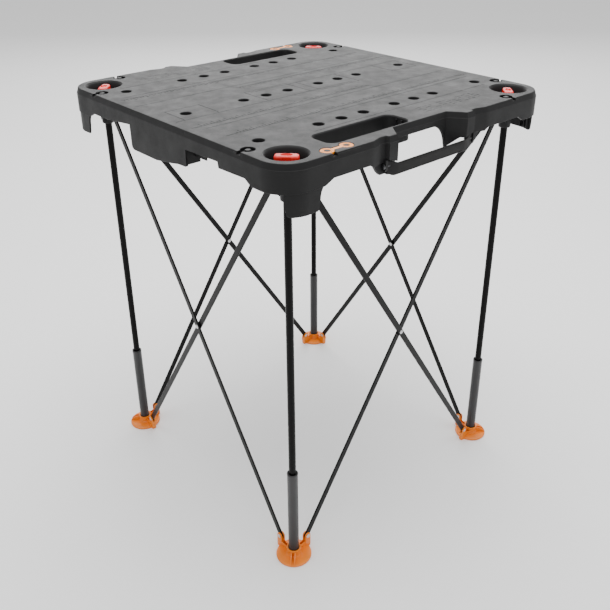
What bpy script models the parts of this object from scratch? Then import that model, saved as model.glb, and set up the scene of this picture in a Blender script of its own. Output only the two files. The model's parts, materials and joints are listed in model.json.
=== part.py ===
"""Portable folding work table, the kind used as a sawhorse.

A moulded top with dog holes stands on four telescoping legs, joined on each side by two crossing bars.
Metres, +Z up, origin on the floor under the middle of the top, X along the two handle edges.
Corners are numbered 1 to 4 counter-clockwise from (-X, -Y), and side 1 runs from corner 1 to corner 2.
"""
import math

import bmesh
import bpy
from mathutils import Matrix, Vector

# Top moulding
TABLE_HEIGHT = 0.800
TOP_HALF = 0.320
LEG_OFFSET = 0.269
CORNER_RADIUS = TOP_HALF - LEG_OFFSET
DECK_THICKNESS = 0.004
WALL = 0.004
LIP_HEIGHT = 0.0095
LIP_INSET = 0.0035

# Depth of the skirt's lower edge below the top, along its different stretches
SKIRT_DEPTH = 0.0365
APRON_DEPTH = 0.0455
FLANGE_DEPTH = 0.0815
TROUGH_DEPTH = 0.072
LATCH_DEPTH = 0.0605
ARCH_DEPTH = 0.028
BLOCK_DEPTH = 0.0415
BLOCK_LUG_DEPTH = 0.0370
BLOCK_CORNER_DEPTH = 0.0430
RECESS_LEG_DEPTH = 0.0620
RECESS_WALL_DEPTH = 0.0195

# Corners of the skirt's lower edge: (distance along the side, depth below the top)
FLANGE_FOOT = (-0.2525, FLANGE_DEPTH)
FLANGE_RISE = (-0.2475, 0.064)
FLANGE_STEP = (-0.2215, SKIRT_DEPTH)
APRON_RAMP = (0.2335, SKIRT_DEPTH)
APRON_STEP = (0.248, APRON_DEPTH)
TROUGH_RAMP = (-0.173, SKIRT_DEPTH)
TROUGH_ARCH = (-0.0915, ARCH_DEPTH)
TROUGH_WALL = (-0.0905, 0.066)
TROUGH_FLOOR = (-0.0815, TROUGH_DEPTH)
TROUGH_END = (-0.003, TROUGH_DEPTH)
LATCH_RAMP = (0.030, 0.066)
LATCH_FLOOR = (0.061, LATCH_DEPTH)
LATCH_END = (0.0795, LATCH_DEPTH)
LATCH_WALL = (0.0805, 0.031)
LATCH_ARCH = (0.167, ARCH_DEPTH)
LATCH_STEP = (0.169, SKIRT_DEPTH + 0.0015)

# Plan of the handle recess and its hinge blocks, from the outer face inwards
RECESS_MOUTH = 0.0855
RECESS_BACK = 0.0636
RECESS_INSET = 0.0285
ARCH_LEFT = -0.0500
ARCH_RIGHT = 0.0300
BLOCK_START = 0.1465
CHANNEL_RAMP = 0.1365
CHANNEL_OUTER = 0.1180
CHANNEL_INNER = 0.1075
CHANNEL_LIP = 0.1050
CHANNEL_INSET = 0.006
BLOCK_WALL = 0.009

# Dog holes, hand slots, wells and connector notches
HOLE_RADIUS = 0.0098
HOLE_ROW_Y = 0.196
HOLE_COLUMNS = (0.038, 0.089, 0.140, 0.2625)
SLOT_CENTRE = (-0.105, -0.258)
SLOT_HALF = (0.089, 0.0255)
SLOT_RADIUS = 0.015
SLOT_WALL_DEPTH = 0.031
WELL_RADIUS = 0.0315
WELL_FLOOR_RADIUS = 0.0285
WELL_DEPTH = 0.0215
WELL_FLOOR = 0.004
WELL_WALL = 0.003
SLOT_WALL = 0.0028
WELL_BORE = 0.0053
NOTCH_ALONG = 0.218
NOTCH_INSET = 0.020
NOTCH_RADIUS = 0.0115
NOTCH_DEPTH = 0.0048
NOTCH_PIN_RADIUS = 0.0048
NOTCH_NECK = 0.0085
NOTCH_PAD_DEPTH = 0.009
NOTCH_PAD_RIM = 0.0025
NOTCH_PAD_HALF = 0.0155
NOTCH_PAD_INSET = 0.0175
NOTCH_PAD_ROUND = 0.004
NOTCH_PIN_ROOT = 0.002
NOTCH_PIN_RECESS = 0.0004
CLIP_SPACING = 0.039
CLIP_THICKNESS = 0.0042
CLIP_CLEARANCE = 0.0005

# How far a cutter reaches above the deck, below it and past a face
CUT_ABOVE = 0.010
CUT_BELOW = 0.040
CUT_PAST = 0.010

# Carrying bail
BAIL_PIN_Y = TOP_HALF - 0.0050
BAIL_PIN_DEPTH = 0.048
BAIL_FACE = TOP_HALF - 0.0005
BAIL_TOP_DEPTH = 0.0465
BAIL_BOTTOM_DEPTH = 0.066
BAIL_STRAP = 0.006
BAIL_FACE_HALF = 0.0830
BAIL_LUG_INNER = 0.0985
BAIL_LUG_OUTER = 0.1052
BAIL_LUG_TOP_DEPTH = 0.0390
BAIL_LUG_BOTTOM_DEPTH = 0.0617
BAIL_LUG_TAIL = 0.0115
BAIL_EAR_INNER = 0.1060
BAIL_EAR_TIP = 0.1190
BAIL_EAR_ROOT = 0.1330
BAIL_EAR_DEPTH = 0.0610
BAIL_EAR_FRONT = 0.0012
BAIL_EAR_BACK = 0.0145
BAIL_EAR_EMBED = 0.003
BAIL_BEND = 0.0030
BAIL_POCKET_REACH = 0.03
PIN_RADIUS = 0.0023
PIN_LENGTH = 0.027
PIN_MIDDLE = 0.1122

# Lock knob and spindle, heights from the deck
KNOB_LOW = -0.0167
KNOB_HIGH = -0.0030
KNOB_HALF = (0.0190, 0.0088)
KNOB_ROUND = 0.005
KNOB_SKIRT_RADIUS = 0.0125
KNOB_SKIRT_LOW = -0.0207
KNOB_SKIRT_EMBED = 0.003
KNOB_BORE = 0.0036
KNOB_BORE_TOP = -0.0095
DISH_FLOOR = (0.0055, 0.0032)
DISH_MOUTH = (0.0095, 0.0055)
DISH_DEPTH = 0.002
SPINDLE_RADIUS = 0.0033
SPINDLE_TOP = -0.0100
SPINDLE_COLLAR = 0.0048
CAM_LOW = -0.0300
CAM_HALF = (0.0120, 0.0050)
CAM_ROUND = 0.0045

# Legs and scissor bars
GAP = 0.0003
EAR_REACH = 0.033
EAR_OUTWARD = 0.0015
FOOT_PIVOT_Z = 0.0255
TOP_PIVOT_Z = 0.7465
BAR_WIDTH = 0.011
BAR_THICKNESS = 0.0035
BAR_PLANE = 0.0021
RIVET_RADIUS = 0.0024
RIVET_HEAD = 0.0042
RIVET_HEAD_HEIGHT = 0.0013
CHEEK = 0.0024
EAR_RADIUS = 0.0065
ARM_ROOT = 0.0080
ARM_MARGIN = 0.0003
FORK_SLOT_HALF = 0.010
FORK_SLOT_ROOT = 0.0008
FORK_SLOT_REACH = 0.012
FORK_BORE_REACH = 0.0064
TUBE_RADIUS = 0.0065
TUBE_WALL = 0.001
TUBE_BOTTOM = 0.026
TUBE_TOP = 0.749
BRACKET_BOTTOM = 0.727
BRACKET_TOP = 0.768
BRACKET_RADIUS = 0.0112
BRACKET_PLATE_NEAR = 0.0085
BRACKET_PLATE_STEP = 0.0125
BRACKET_PLATE_FAR = 0.0240
BRACKET_PLATE_DEPTH = 0.0065
BRACKET_ARM_DEPTH = 0.0062
BRACKET_FORK_DEPTH = 0.0035
BEARING_HALF = (0.0026, 0.0060)
BEARING_ROUND = 0.0012
BEARING_ALONG = 0.0163
BEARING_EMBED = 0.003
TUBE_SEAT_LOW = 0.700
TUBE_SEAT_HIGH = 0.7495
SLEEVE_RADIUS = 0.0101
SLEEVE_BORE = 0.0081
SLEEVE_BOTTOM = 0.0062
SLEEVE_TOP = 0.2005
FOOT_RADIUS = 0.0335
FOOT_THICKNESS = 0.0042
FOOT_CHAMFER = 0.0012
FOOT_DRAFT = 0.001
FOOT_FORK_ROOT = 0.0022
FOOT_BORE_TOP = 0.060
FIN_PROFILE = ((0.0115, 0.0025), (0.0305, 0.0025), (0.0305, 0.0065), (0.0245, 0.0120), (0.0115, 0.0160))
FIN_HALF = 0.0032
SOCKET_RADIUS = 0.0130
SOCKET_TOP = 0.019

# Derived scissor geometry
PIVOT_HALF_SPAN = LEG_OFFSET - EAR_REACH
BAR_RISE = TOP_PIVOT_Z - FOOT_PIVOT_Z
BAR_LENGTH = math.hypot(2 * PIVOT_HALF_SPAN, BAR_RISE)
BAR_ANGLE = math.atan2(BAR_RISE, 2 * PIVOT_HALF_SPAN)
CROSSING_Z = (TOP_PIVOT_Z + FOOT_PIVOT_Z) / 2
SIDE_PLANE = LEG_OFFSET + EAR_OUTWARD
FOOT_SHIFTS = (BAR_PLANE, -BAR_PLANE)
BRACKET_SHIFTS = (-BAR_PLANE, BAR_PLANE)
QUARTER = math.pi / 2


def material(name, colour, roughness, metallic=0.0):
    """A plain Principled material."""
    result = bpy.data.materials.new(name)
    result.use_nodes = True
    shader = result.node_tree.nodes["Principled BSDF"]
    shader.inputs["Base Color"].default_value = (*colour, 1.0)
    shader.inputs["Roughness"].default_value = roughness
    shader.inputs["Metallic"].default_value = metallic
    return result


def circle(radius, segments, centre=(0.0, 0.0), start=0.0):
    """Points of a circle in the XY plane, counter-clockwise."""
    step = 2 * math.pi / segments
    return [(centre[0] + radius * math.cos(start + i * step), centre[1] + radius * math.sin(start + i * step))
            for i in range(segments)]


def rounded_box(half_x, half_y, radius, segments, centre=(0.0, 0.0)):
    """Outline of a rectangle with round corners, counter-clockwise."""
    points = []
    for quarter, (sx, sy) in enumerate(((1, 1), (-1, 1), (-1, -1), (1, -1))):
        for i in range(segments + 1):
            angle = quarter * QUARTER + QUARTER * i / segments
            points.append((centre[0] + sx * (half_x - radius) + radius * math.cos(angle),
                           centre[1] + sy * (half_y - radius) + radius * math.sin(angle)))
    return points


def add_loft(bm, rings):
    """Closed body through rings of 3-D points that all have the same count, bottom ring first."""
    rows = [[bm.verts.new(point) for point in ring] for ring in rings]
    count = len(rows[0])
    for lower, upper in zip(rows, rows[1:]):
        for i in range(count):
            j = (i + 1) % count
            bm.faces.new((lower[i], lower[j], upper[j], upper[i]))
    bm.faces.new(rows[0][::-1])
    bm.faces.new(rows[-1])


def add_prism(bm, outline, low, high, matrix=None):
    """Closed prism of a counter-clockwise outline between two heights, moved by a matrix."""
    place = matrix or Matrix.Identity(4)
    add_loft(bm, [[place @ Vector((x, y, z)) for x, y in outline] for z in (low, high)])


def add_turned(bm, profile, segments, matrix=None):
    """Closed turned body about Z from (radius, z) pairs, bottom first."""
    place = matrix or Matrix.Identity(4)
    add_loft(bm, [[place @ Vector((x, y, z)) for x, y in circle(radius, segments)] for radius, z in profile])


def add_pipe(bm, outer, inner, low, high, segments):
    """Open-ended pipe standing on Z."""
    rings = []
    for radius, z in ((inner, low), (outer, low), (outer, high), (inner, high)):
        rings.append([bm.verts.new((x, y, z)) for x, y in circle(radius, segments)])
    for first, second in zip(rings, rings[1:] + rings[:1]):
        for i in range(segments):
            j = (i + 1) % segments
            bm.faces.new((first[i], first[j], second[j], second[i]))


def mesh_from(bm, name):
    """Finish a bmesh as a mesh with round surfaces shaded smooth."""
    bmesh.ops.recalc_face_normals(bm, faces=bm.faces)
    mesh = bpy.data.meshes.new(name)
    bm.to_mesh(mesh)
    bm.free()
    mesh.shade_smooth()
    mesh.set_sharp_from_angle(angle=math.radians(32))
    return mesh


def build_mesh(name, fill):
    """Mesh filled in by a function that draws into a bmesh."""
    bm = bmesh.new()
    fill(bm)
    return mesh_from(bm, name)


def carve(name, base, steps):
    """Apply Boolean steps, pairs of an operation and a fill function, to a base and return the mesh."""
    body = bpy.data.objects.new(name + "_base", build_mesh(name + "_base", base))
    bpy.context.scene.collection.objects.link(body)
    tools = []
    for index, (operation, fill) in enumerate(steps):
        tool_name = f"{name}_tool_{index}"
        tool = bpy.data.objects.new(tool_name, build_mesh(tool_name, fill))
        tool.hide_render = True
        tool.display_type = "WIRE"
        bpy.context.scene.collection.objects.link(tool)
        tools.append(tool)
        step = body.modifiers.new(tool_name, "BOOLEAN")
        step.object = tool
        step.operation = operation
        step.solver = "EXACT"
    graph = bpy.context.evaluated_depsgraph_get()
    result = bpy.data.meshes.new_from_object(body.evaluated_get(graph))
    result.name = name
    for helper in tools + [body]:
        bpy.data.objects.remove(helper)
    result.shade_smooth()
    result.set_sharp_from_angle(angle=math.radians(32))
    return result


def turn(corner):
    """Turn about Z that takes corner 1 or side 1 to the numbered one."""
    return (corner - 1) * QUARTER


def turned_point(corner, x, y, z):
    """World point of corner 1 or side 1 coordinates carried to the numbered corner or side."""
    return Matrix.Rotation(turn(corner), 4, "Z") @ Vector((x, y, z))


# ---------------------------------------------------------------- outline of the top moulding

def rounding(start, end, steps, along_first):
    """Quarter of an ellipse between two (along, depth) points, without its ends."""
    points = []
    for i in range(1, steps):
        angle = QUARTER * i / steps
        s, c = math.sin(angle), 1 - math.cos(angle)
        a, b = (s, c) if along_first else (c, s)
        points.append((start[0] + (end[0] - start[0]) * a, start[1] + (end[1] - start[1]) * b))
    return points


def corner_stations(centre_angle):
    """Outline stations round one corner: (outer x, y, inner x, y, depth of the lower edge)."""
    profile = ((0, APRON_DEPTH), (11, APRON_DEPTH), (22, APRON_DEPTH), (33, APRON_DEPTH), (43, APRON_DEPTH),
               (44, APRON_DEPTH + 0.010), (50, FLANGE_DEPTH - 0.002), (60, FLANGE_DEPTH),
               (70, FLANGE_DEPTH), (80, FLANGE_DEPTH), (90, FLANGE_DEPTH))
    stations = []
    for degrees, depth in profile:
        angle = centre_angle + math.radians(degrees)
        c, s = math.cos(angle), math.sin(angle)
        inner = CORNER_RADIUS - WALL
        stations.append((CORNER_RADIUS * c, CORNER_RADIUS * s, inner * c, inner * s, depth))
    return stations


def flange_end():
    """(along, depth) where the flange beside a corner sweeps up to the skirt."""
    return [FLANGE_FOOT, FLANGE_RISE, *rounding(FLANGE_RISE, FLANGE_STEP, 4, False), FLANGE_STEP]


def apron_start():
    """(along, depth) where the skirt steps down to the next corner's apron."""
    return [APRON_RAMP, APRON_STEP]


def trough_side():
    """Stations of a side with the deep middle section: (along, inset, inner along, inner inset, depth)."""
    edge = [*flange_end(), TROUGH_RAMP, TROUGH_ARCH, TROUGH_WALL,
            *rounding(TROUGH_WALL, TROUGH_FLOOR, 3, False), TROUGH_FLOOR, TROUGH_END, LATCH_RAMP,
            LATCH_FLOOR, LATCH_END, LATCH_WALL, LATCH_ARCH, LATCH_STEP, *apron_start()]
    return [(along, 0.0, along, WALL, depth) for along, depth in edge]


def block_stations():
    """Stations of the hinge block before the recess, from the skirt to the recess's mouth."""
    return [(-BLOCK_START, 0.0, -BLOCK_START, WALL, SKIRT_DEPTH),
            (-CHANNEL_RAMP, 0.0, -CHANNEL_RAMP, BLOCK_WALL, BLOCK_DEPTH),
            (-CHANNEL_OUTER, CHANNEL_INSET, -CHANNEL_OUTER, BLOCK_WALL, BLOCK_DEPTH),
            (-CHANNEL_INNER, CHANNEL_INSET, -CHANNEL_INNER, BLOCK_WALL, BLOCK_DEPTH),
            (-CHANNEL_LIP, 0.0, -CHANNEL_LIP, BLOCK_WALL, BLOCK_LUG_DEPTH),
            (-BAIL_LUG_INNER, 0.0, -BAIL_LUG_INNER, BLOCK_WALL, BLOCK_LUG_DEPTH),
            (-RECESS_MOUTH, 0.0, -RECESS_MOUTH + 0.0008, BLOCK_WALL, BLOCK_CORNER_DEPTH)]


def facet_stations():
    """Stations of the slanted wall from the recess's mouth to its back."""
    share = 0.30
    along = -RECESS_MOUTH + (RECESS_MOUTH - RECESS_BACK) * share
    inset = RECESS_INSET * share
    return [(along, inset, along + 0.0006, inset + BLOCK_WALL * 0.6, BLOCK_CORNER_DEPTH),
            (-RECESS_BACK, RECESS_INSET, -RECESS_BACK - 0.0016, RECESS_INSET + WALL, RECESS_LEG_DEPTH)]


def mirrored(stations):
    """The same stations on the other half of the side, in the order that they come there."""
    return [(-along, inset, -inner_along, inner_inset, depth)
            for along, inset, inner_along, inner_inset, depth in reversed(stations)]


def handle_side():
    """Stations of a side with the bail recess between two hinge blocks."""
    back_inner = RECESS_INSET + WALL
    left_foot = (-RECESS_BACK, RECESS_LEG_DEPTH)
    right_foot = (RECESS_BACK, RECESS_LEG_DEPTH)
    left_top = (ARCH_LEFT, RECESS_WALL_DEPTH)
    right_top = (ARCH_RIGHT, RECESS_WALL_DEPTH)
    arch = [*rounding(left_foot, left_top, 4, False), left_top, right_top,
            *reversed(rounding(right_foot, right_top, 5, False))]
    start = [(along, 0.0, along, WALL, depth) for along, depth in flange_end()]
    before = block_stations() + facet_stations()
    back = [(along, RECESS_INSET, along, back_inner, depth) for along, depth in arch]
    end = [(along, 0.0, along, WALL, depth) for along, depth in apron_start()]
    return start + before + back + mirrored(before) + end


def outline_stations():
    """World stations right round the top, counter-clockwise from corner 1."""
    stations = []
    for corner in (1, 2, 3, 4):
        spin = Matrix.Rotation(turn(corner), 2)
        centre = Vector((-LEG_OFFSET, -LEG_OFFSET))
        local = []
        for ox, oy, ix, iy, depth in corner_stations(math.pi):
            local.append((centre + Vector((ox, oy)), centre + Vector((ix, iy)), depth))
        side = handle_side() if corner in (1, 3) else trough_side()
        for along, inset, inner_along, inner_inset, depth in side:
            outer = Vector((along, -TOP_HALF + inset))
            inner = Vector((inner_along, -TOP_HALF + inner_inset))
            local.append((outer, inner, depth))
        stations += [(spin @ outer, spin @ inner, depth) for outer, inner, depth in local]
    return stations


def inset_ring(points, distance):
    """Move a counter-clockwise ring inwards by a distance, square to its edges."""
    result = []
    for i, point in enumerate(points):
        before = (point - points[i - 1]).normalized()
        after = (points[(i + 1) % len(points)] - point).normalized()
        normal = Vector((-before.y - after.y, before.x + after.x)).normalized()
        stretch = max(0.6, normal.dot(Vector((-after.y, after.x))))
        result.append(point + normal * distance / stretch)
    return result


# ---------------------------------------------------------------- top moulding

def draw_top_shell(bm):
    """Deck, lip and skirt as one thin shell, open below."""
    stations = outline_stations()
    outer = [station[0] for station in stations]
    inner = [station[1] for station in stations]
    lows = [TABLE_HEIGHT - station[2] for station in stations]
    deck_under = TABLE_HEIGHT - DECK_THICKNESS
    rings = [[(p.x, p.y, deck_under) for p in inner],
             [(p.x, p.y, z) for p, z in zip(inner, lows)],
             [(p.x, p.y, z) for p, z in zip(outer, lows)],
             [(p.x, p.y, TABLE_HEIGHT - LIP_HEIGHT) for p in outer],
             [(p.x, p.y, TABLE_HEIGHT) for p in inset_ring(outer, LIP_INSET)]]
    add_loft(bm, rings)


def notch_places():
    """(x, y) of the eight connector notches beside the corners."""
    places = []
    for side in (1, 2, 3, 4):
        for along in (-NOTCH_ALONG, NOTCH_ALONG):
            spot = turned_point(side, along, -TOP_HALF + NOTCH_INSET, 0)
            places.append((spot.x, spot.y))
    return places


def clip_seats():
    """(x, y) of the two pins under each stored clip, on sides 1 and 3."""
    inset = TOP_HALF - NOTCH_INSET
    return [((-sign * NOTCH_ALONG, -sign * inset), (-sign * (NOTCH_ALONG - CLIP_SPACING), -sign * inset))
            for sign in (1, -1)]


def draw_added_bosses(bm):
    """Solid parts under the deck: well cups, notch pads and hand-slot walls."""
    deck_middle = TABLE_HEIGHT - DECK_THICKNESS / 2
    cup_bottom = TABLE_HEIGHT - WELL_DEPTH - WELL_FLOOR
    for corner in (1, 2, 3, 4):
        spot = turned_point(corner, -LEG_OFFSET, -LEG_OFFSET, 0)
        profile = ((WELL_FLOOR_RADIUS + WELL_WALL, cup_bottom), (WELL_RADIUS + WELL_WALL, deck_middle))
        add_turned(bm, profile, 24, Matrix.Translation(spot))
    for sign in (1, -1):
        centre = (SLOT_CENTRE[0] * sign, SLOT_CENTRE[1] * sign)
        walls = rounded_box(SLOT_HALF[0] + SLOT_WALL, SLOT_HALF[1] + SLOT_WALL, SLOT_RADIUS + SLOT_WALL, 4,
                            centre)
        add_prism(bm, walls, TABLE_HEIGHT - SLOT_WALL_DEPTH, deck_middle)


def draw_notch_pads(bm):
    """Thicker deck round the connector notches, cut flat just inside the skirt."""
    deck_middle = TABLE_HEIGHT - DECK_THICKNESS / 2
    for side in (1, 2, 3, 4):
        matrix = Matrix.Rotation(turn(side), 4, "Z")
        for sign in (-1, 1):
            reach = CLIP_SPACING if side in (1, 3) and sign < 0 else 0.0
            middle = sign * NOTCH_ALONG + reach / 2
            half_x = NOTCH_RADIUS + NOTCH_PAD_RIM + reach / 2
            centre = (middle, -TOP_HALF + NOTCH_PAD_INSET)
            outline = rounded_box(half_x, NOTCH_PAD_HALF, NOTCH_PAD_ROUND, 2, centre)
            add_prism(bm, outline, TABLE_HEIGHT - NOTCH_PAD_DEPTH, deck_middle, matrix)


def draw_bail_ears(bm):
    """Fixed ears under the hinge blocks that carry the bail pins."""
    low = TABLE_HEIGHT - BAIL_EAR_DEPTH
    high = TABLE_HEIGHT - BLOCK_DEPTH + BAIL_EAR_EMBED
    profile = [(BAIL_EAR_INNER, low), (BAIL_EAR_TIP, low), (BAIL_EAR_ROOT, high), (BAIL_EAR_INNER, high)]
    for side in (1, 3):
        for sign in (1, -1):
            rings = []
            for y in (-TOP_HALF + BAIL_EAR_FRONT, -TOP_HALF + BAIL_EAR_BACK):
                rings.append([turned_point(side, sign * x, y, z) for x, z in profile])
            add_loft(bm, rings)


def draw_deck_cuts(bm):
    """Dog holes, hand slots and wells, taken out of the deck."""
    above = TABLE_HEIGHT + CUT_ABOVE
    below = TABLE_HEIGHT - CUT_BELOW
    for y in (-HOLE_ROW_Y, 0.0, HOLE_ROW_Y):
        for column in HOLE_COLUMNS:
            for x in (-column, column):
                add_prism(bm, circle(HOLE_RADIUS, 12, (x, y)), below, above)
    for sign in (1, -1):
        centre = (SLOT_CENTRE[0] * sign, SLOT_CENTRE[1] * sign)
        add_prism(bm, rounded_box(*SLOT_HALF, SLOT_RADIUS, 4, centre), below, above)
    floor = TABLE_HEIGHT - WELL_DEPTH
    for corner in (1, 2, 3, 4):
        spot = turned_point(corner, -LEG_OFFSET, -LEG_OFFSET, 0)
        slope = (WELL_RADIUS - WELL_FLOOR_RADIUS) / WELL_DEPTH
        mouth = WELL_RADIUS + slope * (above - TABLE_HEIGHT)
        add_turned(bm, ((WELL_FLOOR_RADIUS, floor), (mouth, above)), 24, Matrix.Translation(spot))


def draw_spindle_bores(bm):
    """Bores through the well floors for the knob spindles."""
    for corner in (1, 2, 3, 4):
        spot = turned_point(corner, -LEG_OFFSET, -LEG_OFFSET, 0)
        bore = ((WELL_BORE, TABLE_HEIGHT - CUT_BELOW), (WELL_BORE, TABLE_HEIGHT))
        add_turned(bm, bore, 14, Matrix.Translation(spot))


def draw_notch_cuts(bm):
    """Round pockets of the connector notches and of the clips' second pins."""
    floor = TABLE_HEIGHT - NOTCH_DEPTH
    above = TABLE_HEIGHT + CUT_ABOVE
    spots = notch_places() + [second for _, second in clip_seats()]
    for spot in spots:
        add_prism(bm, circle(NOTCH_RADIUS, 14, spot), floor, above)


def draw_neck_cuts(bm):
    """Channels from each notch out through the lip, and between the two pins under each clip."""
    floor = TABLE_HEIGHT - NOTCH_DEPTH + 0.0002
    above = TABLE_HEIGHT + 0.009
    half = NOTCH_NECK / 2
    for side in (1, 2, 3, 4):
        matrix = Matrix.Rotation(turn(side), 4, "Z")
        for along in (-NOTCH_ALONG, NOTCH_ALONG):
            outline = [(along - half, -TOP_HALF - CUT_PAST), (along + half, -TOP_HALF - CUT_PAST),
                       (along + half, -TOP_HALF + NOTCH_INSET), (along - half, -TOP_HALF + NOTCH_INSET)]
            add_prism(bm, outline, floor, above, matrix)
    for first, second in clip_seats():
        x_low, x_high = sorted((first[0], second[0]))
        outline = [(x_low, first[1] - half), (x_high, first[1] - half), (x_high, first[1] + half),
                   (x_low, first[1] + half)]
        add_prism(bm, outline, floor, above)


def draw_notch_pins(bm):
    """Pins that stand in the notches, flush with the deck, for a clip's eyes."""
    root = TABLE_HEIGHT - NOTCH_DEPTH - NOTCH_PIN_ROOT
    head = TABLE_HEIGHT - NOTCH_PIN_RECESS
    spots = notch_places() + [second for _, second in clip_seats()]
    for spot in spots:
        add_prism(bm, circle(NOTCH_PIN_RADIUS, 8, spot), root, head)


def draw_bail_pin_bores(bm):
    """Cross bores for the bail pins in the fixed ears."""
    for side in (1, 3):
        for sign in (1, -1):
            spot = turned_point(side, sign * PIN_MIDDLE, -BAIL_PIN_Y, TABLE_HEIGHT - BAIL_PIN_DEPTH)
            matrix = Matrix.Translation(spot) @ Matrix.Rotation(QUARTER, 4, "Y")
            radius = PIN_RADIUS + GAP
            reach = PIN_LENGTH / 2 + 0.004
            add_turned(bm, ((radius, -reach), (radius, reach)), 10, matrix)


def top_mesh():
    """The whole top moulding."""
    steps = [("UNION", draw_added_bosses), ("UNION", draw_notch_pads), ("UNION", draw_bail_ears),
             ("DIFFERENCE", draw_deck_cuts), ("DIFFERENCE", draw_spindle_bores),
             ("DIFFERENCE", draw_notch_cuts), ("DIFFERENCE", draw_neck_cuts),
             ("UNION", draw_notch_pins), ("DIFFERENCE", draw_bail_pin_bores)]
    return carve("tabletop", draw_top_shell, steps)


# ---------------------------------------------------------------- pieces on the top

def bail_mesh():
    """U-shaped strap of side 1 with a taller lug at each end, drawn about its pin axis."""
    low = BAIL_PIN_DEPTH - BAIL_BOTTOM_DEPTH
    high = BAIL_PIN_DEPTH - BAIL_TOP_DEPTH
    lug_low = BAIL_PIN_DEPTH - BAIL_LUG_BOTTOM_DEPTH
    lug_high = BAIL_PIN_DEPTH - BAIL_LUG_TOP_DEPTH
    front = BAIL_PIN_Y - BAIL_FACE
    back = front + BAIL_STRAP
    bend = front + BAIL_BEND
    tail = front + BAIL_LUG_TAIL

    def bar(bm):
        add_prism(bm, [(-BAIL_FACE_HALF, front), (BAIL_FACE_HALF, front), (BAIL_FACE_HALF, back),
                       (-BAIL_FACE_HALF, back)], low, high)

    def ends(bm):
        sections = ((BAIL_FACE_HALF - 0.001, front, back, low, high),
                    (BAIL_LUG_INNER, front + 0.0020, tail, lug_low - 0.0010, lug_high - 0.0012),
                    (BAIL_LUG_OUTER, bend, tail, lug_low, lug_high - 0.0004))
        for sign in (-1, 1):
            add_loft(bm, [[(sign * x, y, z) for y, z in ((y0, z0), (y1, z0), (y1, z1), (y0, z1))]
                          for x, y0, y1, z0, z1 in sections])

    def pockets(bm):
        for sign in (-1, 1):
            x_low, x_high = sorted((sign * (BAIL_FACE_HALF - 0.002), sign * BAIL_LUG_INNER))
            outline = [(x_low, back), (x_high, back), (x_high, tail + CUT_PAST), (x_low, tail + CUT_PAST)]
            add_prism(bm, outline, -BAIL_POCKET_REACH, BAIL_POCKET_REACH)

    def bores(bm):
        radius = PIN_RADIUS + GAP
        add_turned(bm, ((radius, -TOP_HALF), (radius, TOP_HALF)), 10, Matrix.Rotation(QUARTER, 4, "Y"))

    return carve("bail", bar, [("UNION", ends), ("DIFFERENCE", pockets), ("DIFFERENCE", bores)])


def bail_pin_mesh():
    """Plain pin along X, drawn from the middle of its length."""
    half = PIN_LENGTH / 2
    return build_mesh("bail_pin", lambda bm: add_turned(
        bm, ((PIN_RADIUS, -half), (PIN_RADIUS, half)), 10, Matrix.Rotation(QUARTER, 4, "Y")))


def knob_mesh():
    """Bar knob with an oval finger dish, its long way across the corner's diagonal."""
    half_x, half_y = KNOB_HALF
    steps = ((0.001, KNOB_LOW), (0.0, KNOB_LOW + 0.001), (0.0, KNOB_HIGH - 0.002), (0.0018, KNOB_HIGH))

    def body(bm):
        rings = []
        for inset, z in steps:
            outline = rounded_box(half_x - inset, half_y - inset, KNOB_ROUND - inset, 2)
            rings.append([(x, y, z) for x, y in outline])
        add_loft(bm, rings)

    def skirt(bm):
        top = KNOB_LOW + KNOB_SKIRT_EMBED
        add_turned(bm, ((KNOB_SKIRT_RADIUS, KNOB_SKIRT_LOW), (KNOB_SKIRT_RADIUS, top)), 16)

    def dish(bm):
        sections = ((DISH_FLOOR, KNOB_HIGH - DISH_DEPTH), (DISH_MOUTH, KNOB_HIGH + DISH_DEPTH))
        add_loft(bm, [[(x * reach[0], y * reach[1], z) for x, y in circle(1.0, 12)] for reach, z in sections])

    def bore(bm):
        add_turned(bm, ((KNOB_BORE, CAM_LOW), (KNOB_BORE, KNOB_BORE_TOP)), 12)

    return carve("knob", body, [("UNION", skirt), ("DIFFERENCE", dish), ("DIFFERENCE", bore)])


def spindle_mesh():
    """Knob spindle with the flat cam that holds the leg's head, drawn from the deck's level."""
    cam_high = -WELL_DEPTH - WELL_FLOOR - GAP

    def shaft(bm):
        add_turned(bm, ((SPINDLE_COLLAR, CAM_LOW + 0.001), (SPINDLE_COLLAR, -WELL_DEPTH - 0.001),
                        (SPINDLE_RADIUS, -WELL_DEPTH + 0.0005), (SPINDLE_RADIUS, SPINDLE_TOP)), 12)

    def cam(bm):
        add_prism(bm, rounded_box(*CAM_HALF, CAM_ROUND, 3), CAM_LOW, cam_high)

    return carve("spindle", shaft, [("UNION", cam)])


def clip_mesh():
    """Dog-bone connector clip with two eyes, centred between them."""
    eye = CLIP_SPACING / 2
    eye_radius = NOTCH_RADIUS - CLIP_CLEARANCE
    half = CLIP_THICKNESS / 2

    def eyes(bm):
        outline = []
        neck = NOTCH_NECK / 2 - CLIP_CLEARANCE
        open_angle = math.asin(neck / eye_radius)
        for middle, start in ((eye, -math.pi + open_angle), (-eye, open_angle)):
            sweep = 2 * (math.pi - open_angle)
            for i in range(13):
                angle = start + sweep * i / 12
                outline.append((middle + eye_radius * math.cos(angle), eye_radius * math.sin(angle)))
        add_prism(bm, outline, -half, half)

    def holes(bm):
        for sign in (-1, 1):
            hole = circle(NOTCH_PIN_RADIUS + NOTCH_PIN_RECESS, 12, (sign * eye, 0))
            add_prism(bm, hole, -CUT_PAST, CUT_PAST)

    return carve("clip", eyes, [("DIFFERENCE", holes)])


# ---------------------------------------------------------------- legs, drawn about the leg's axis

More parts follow.
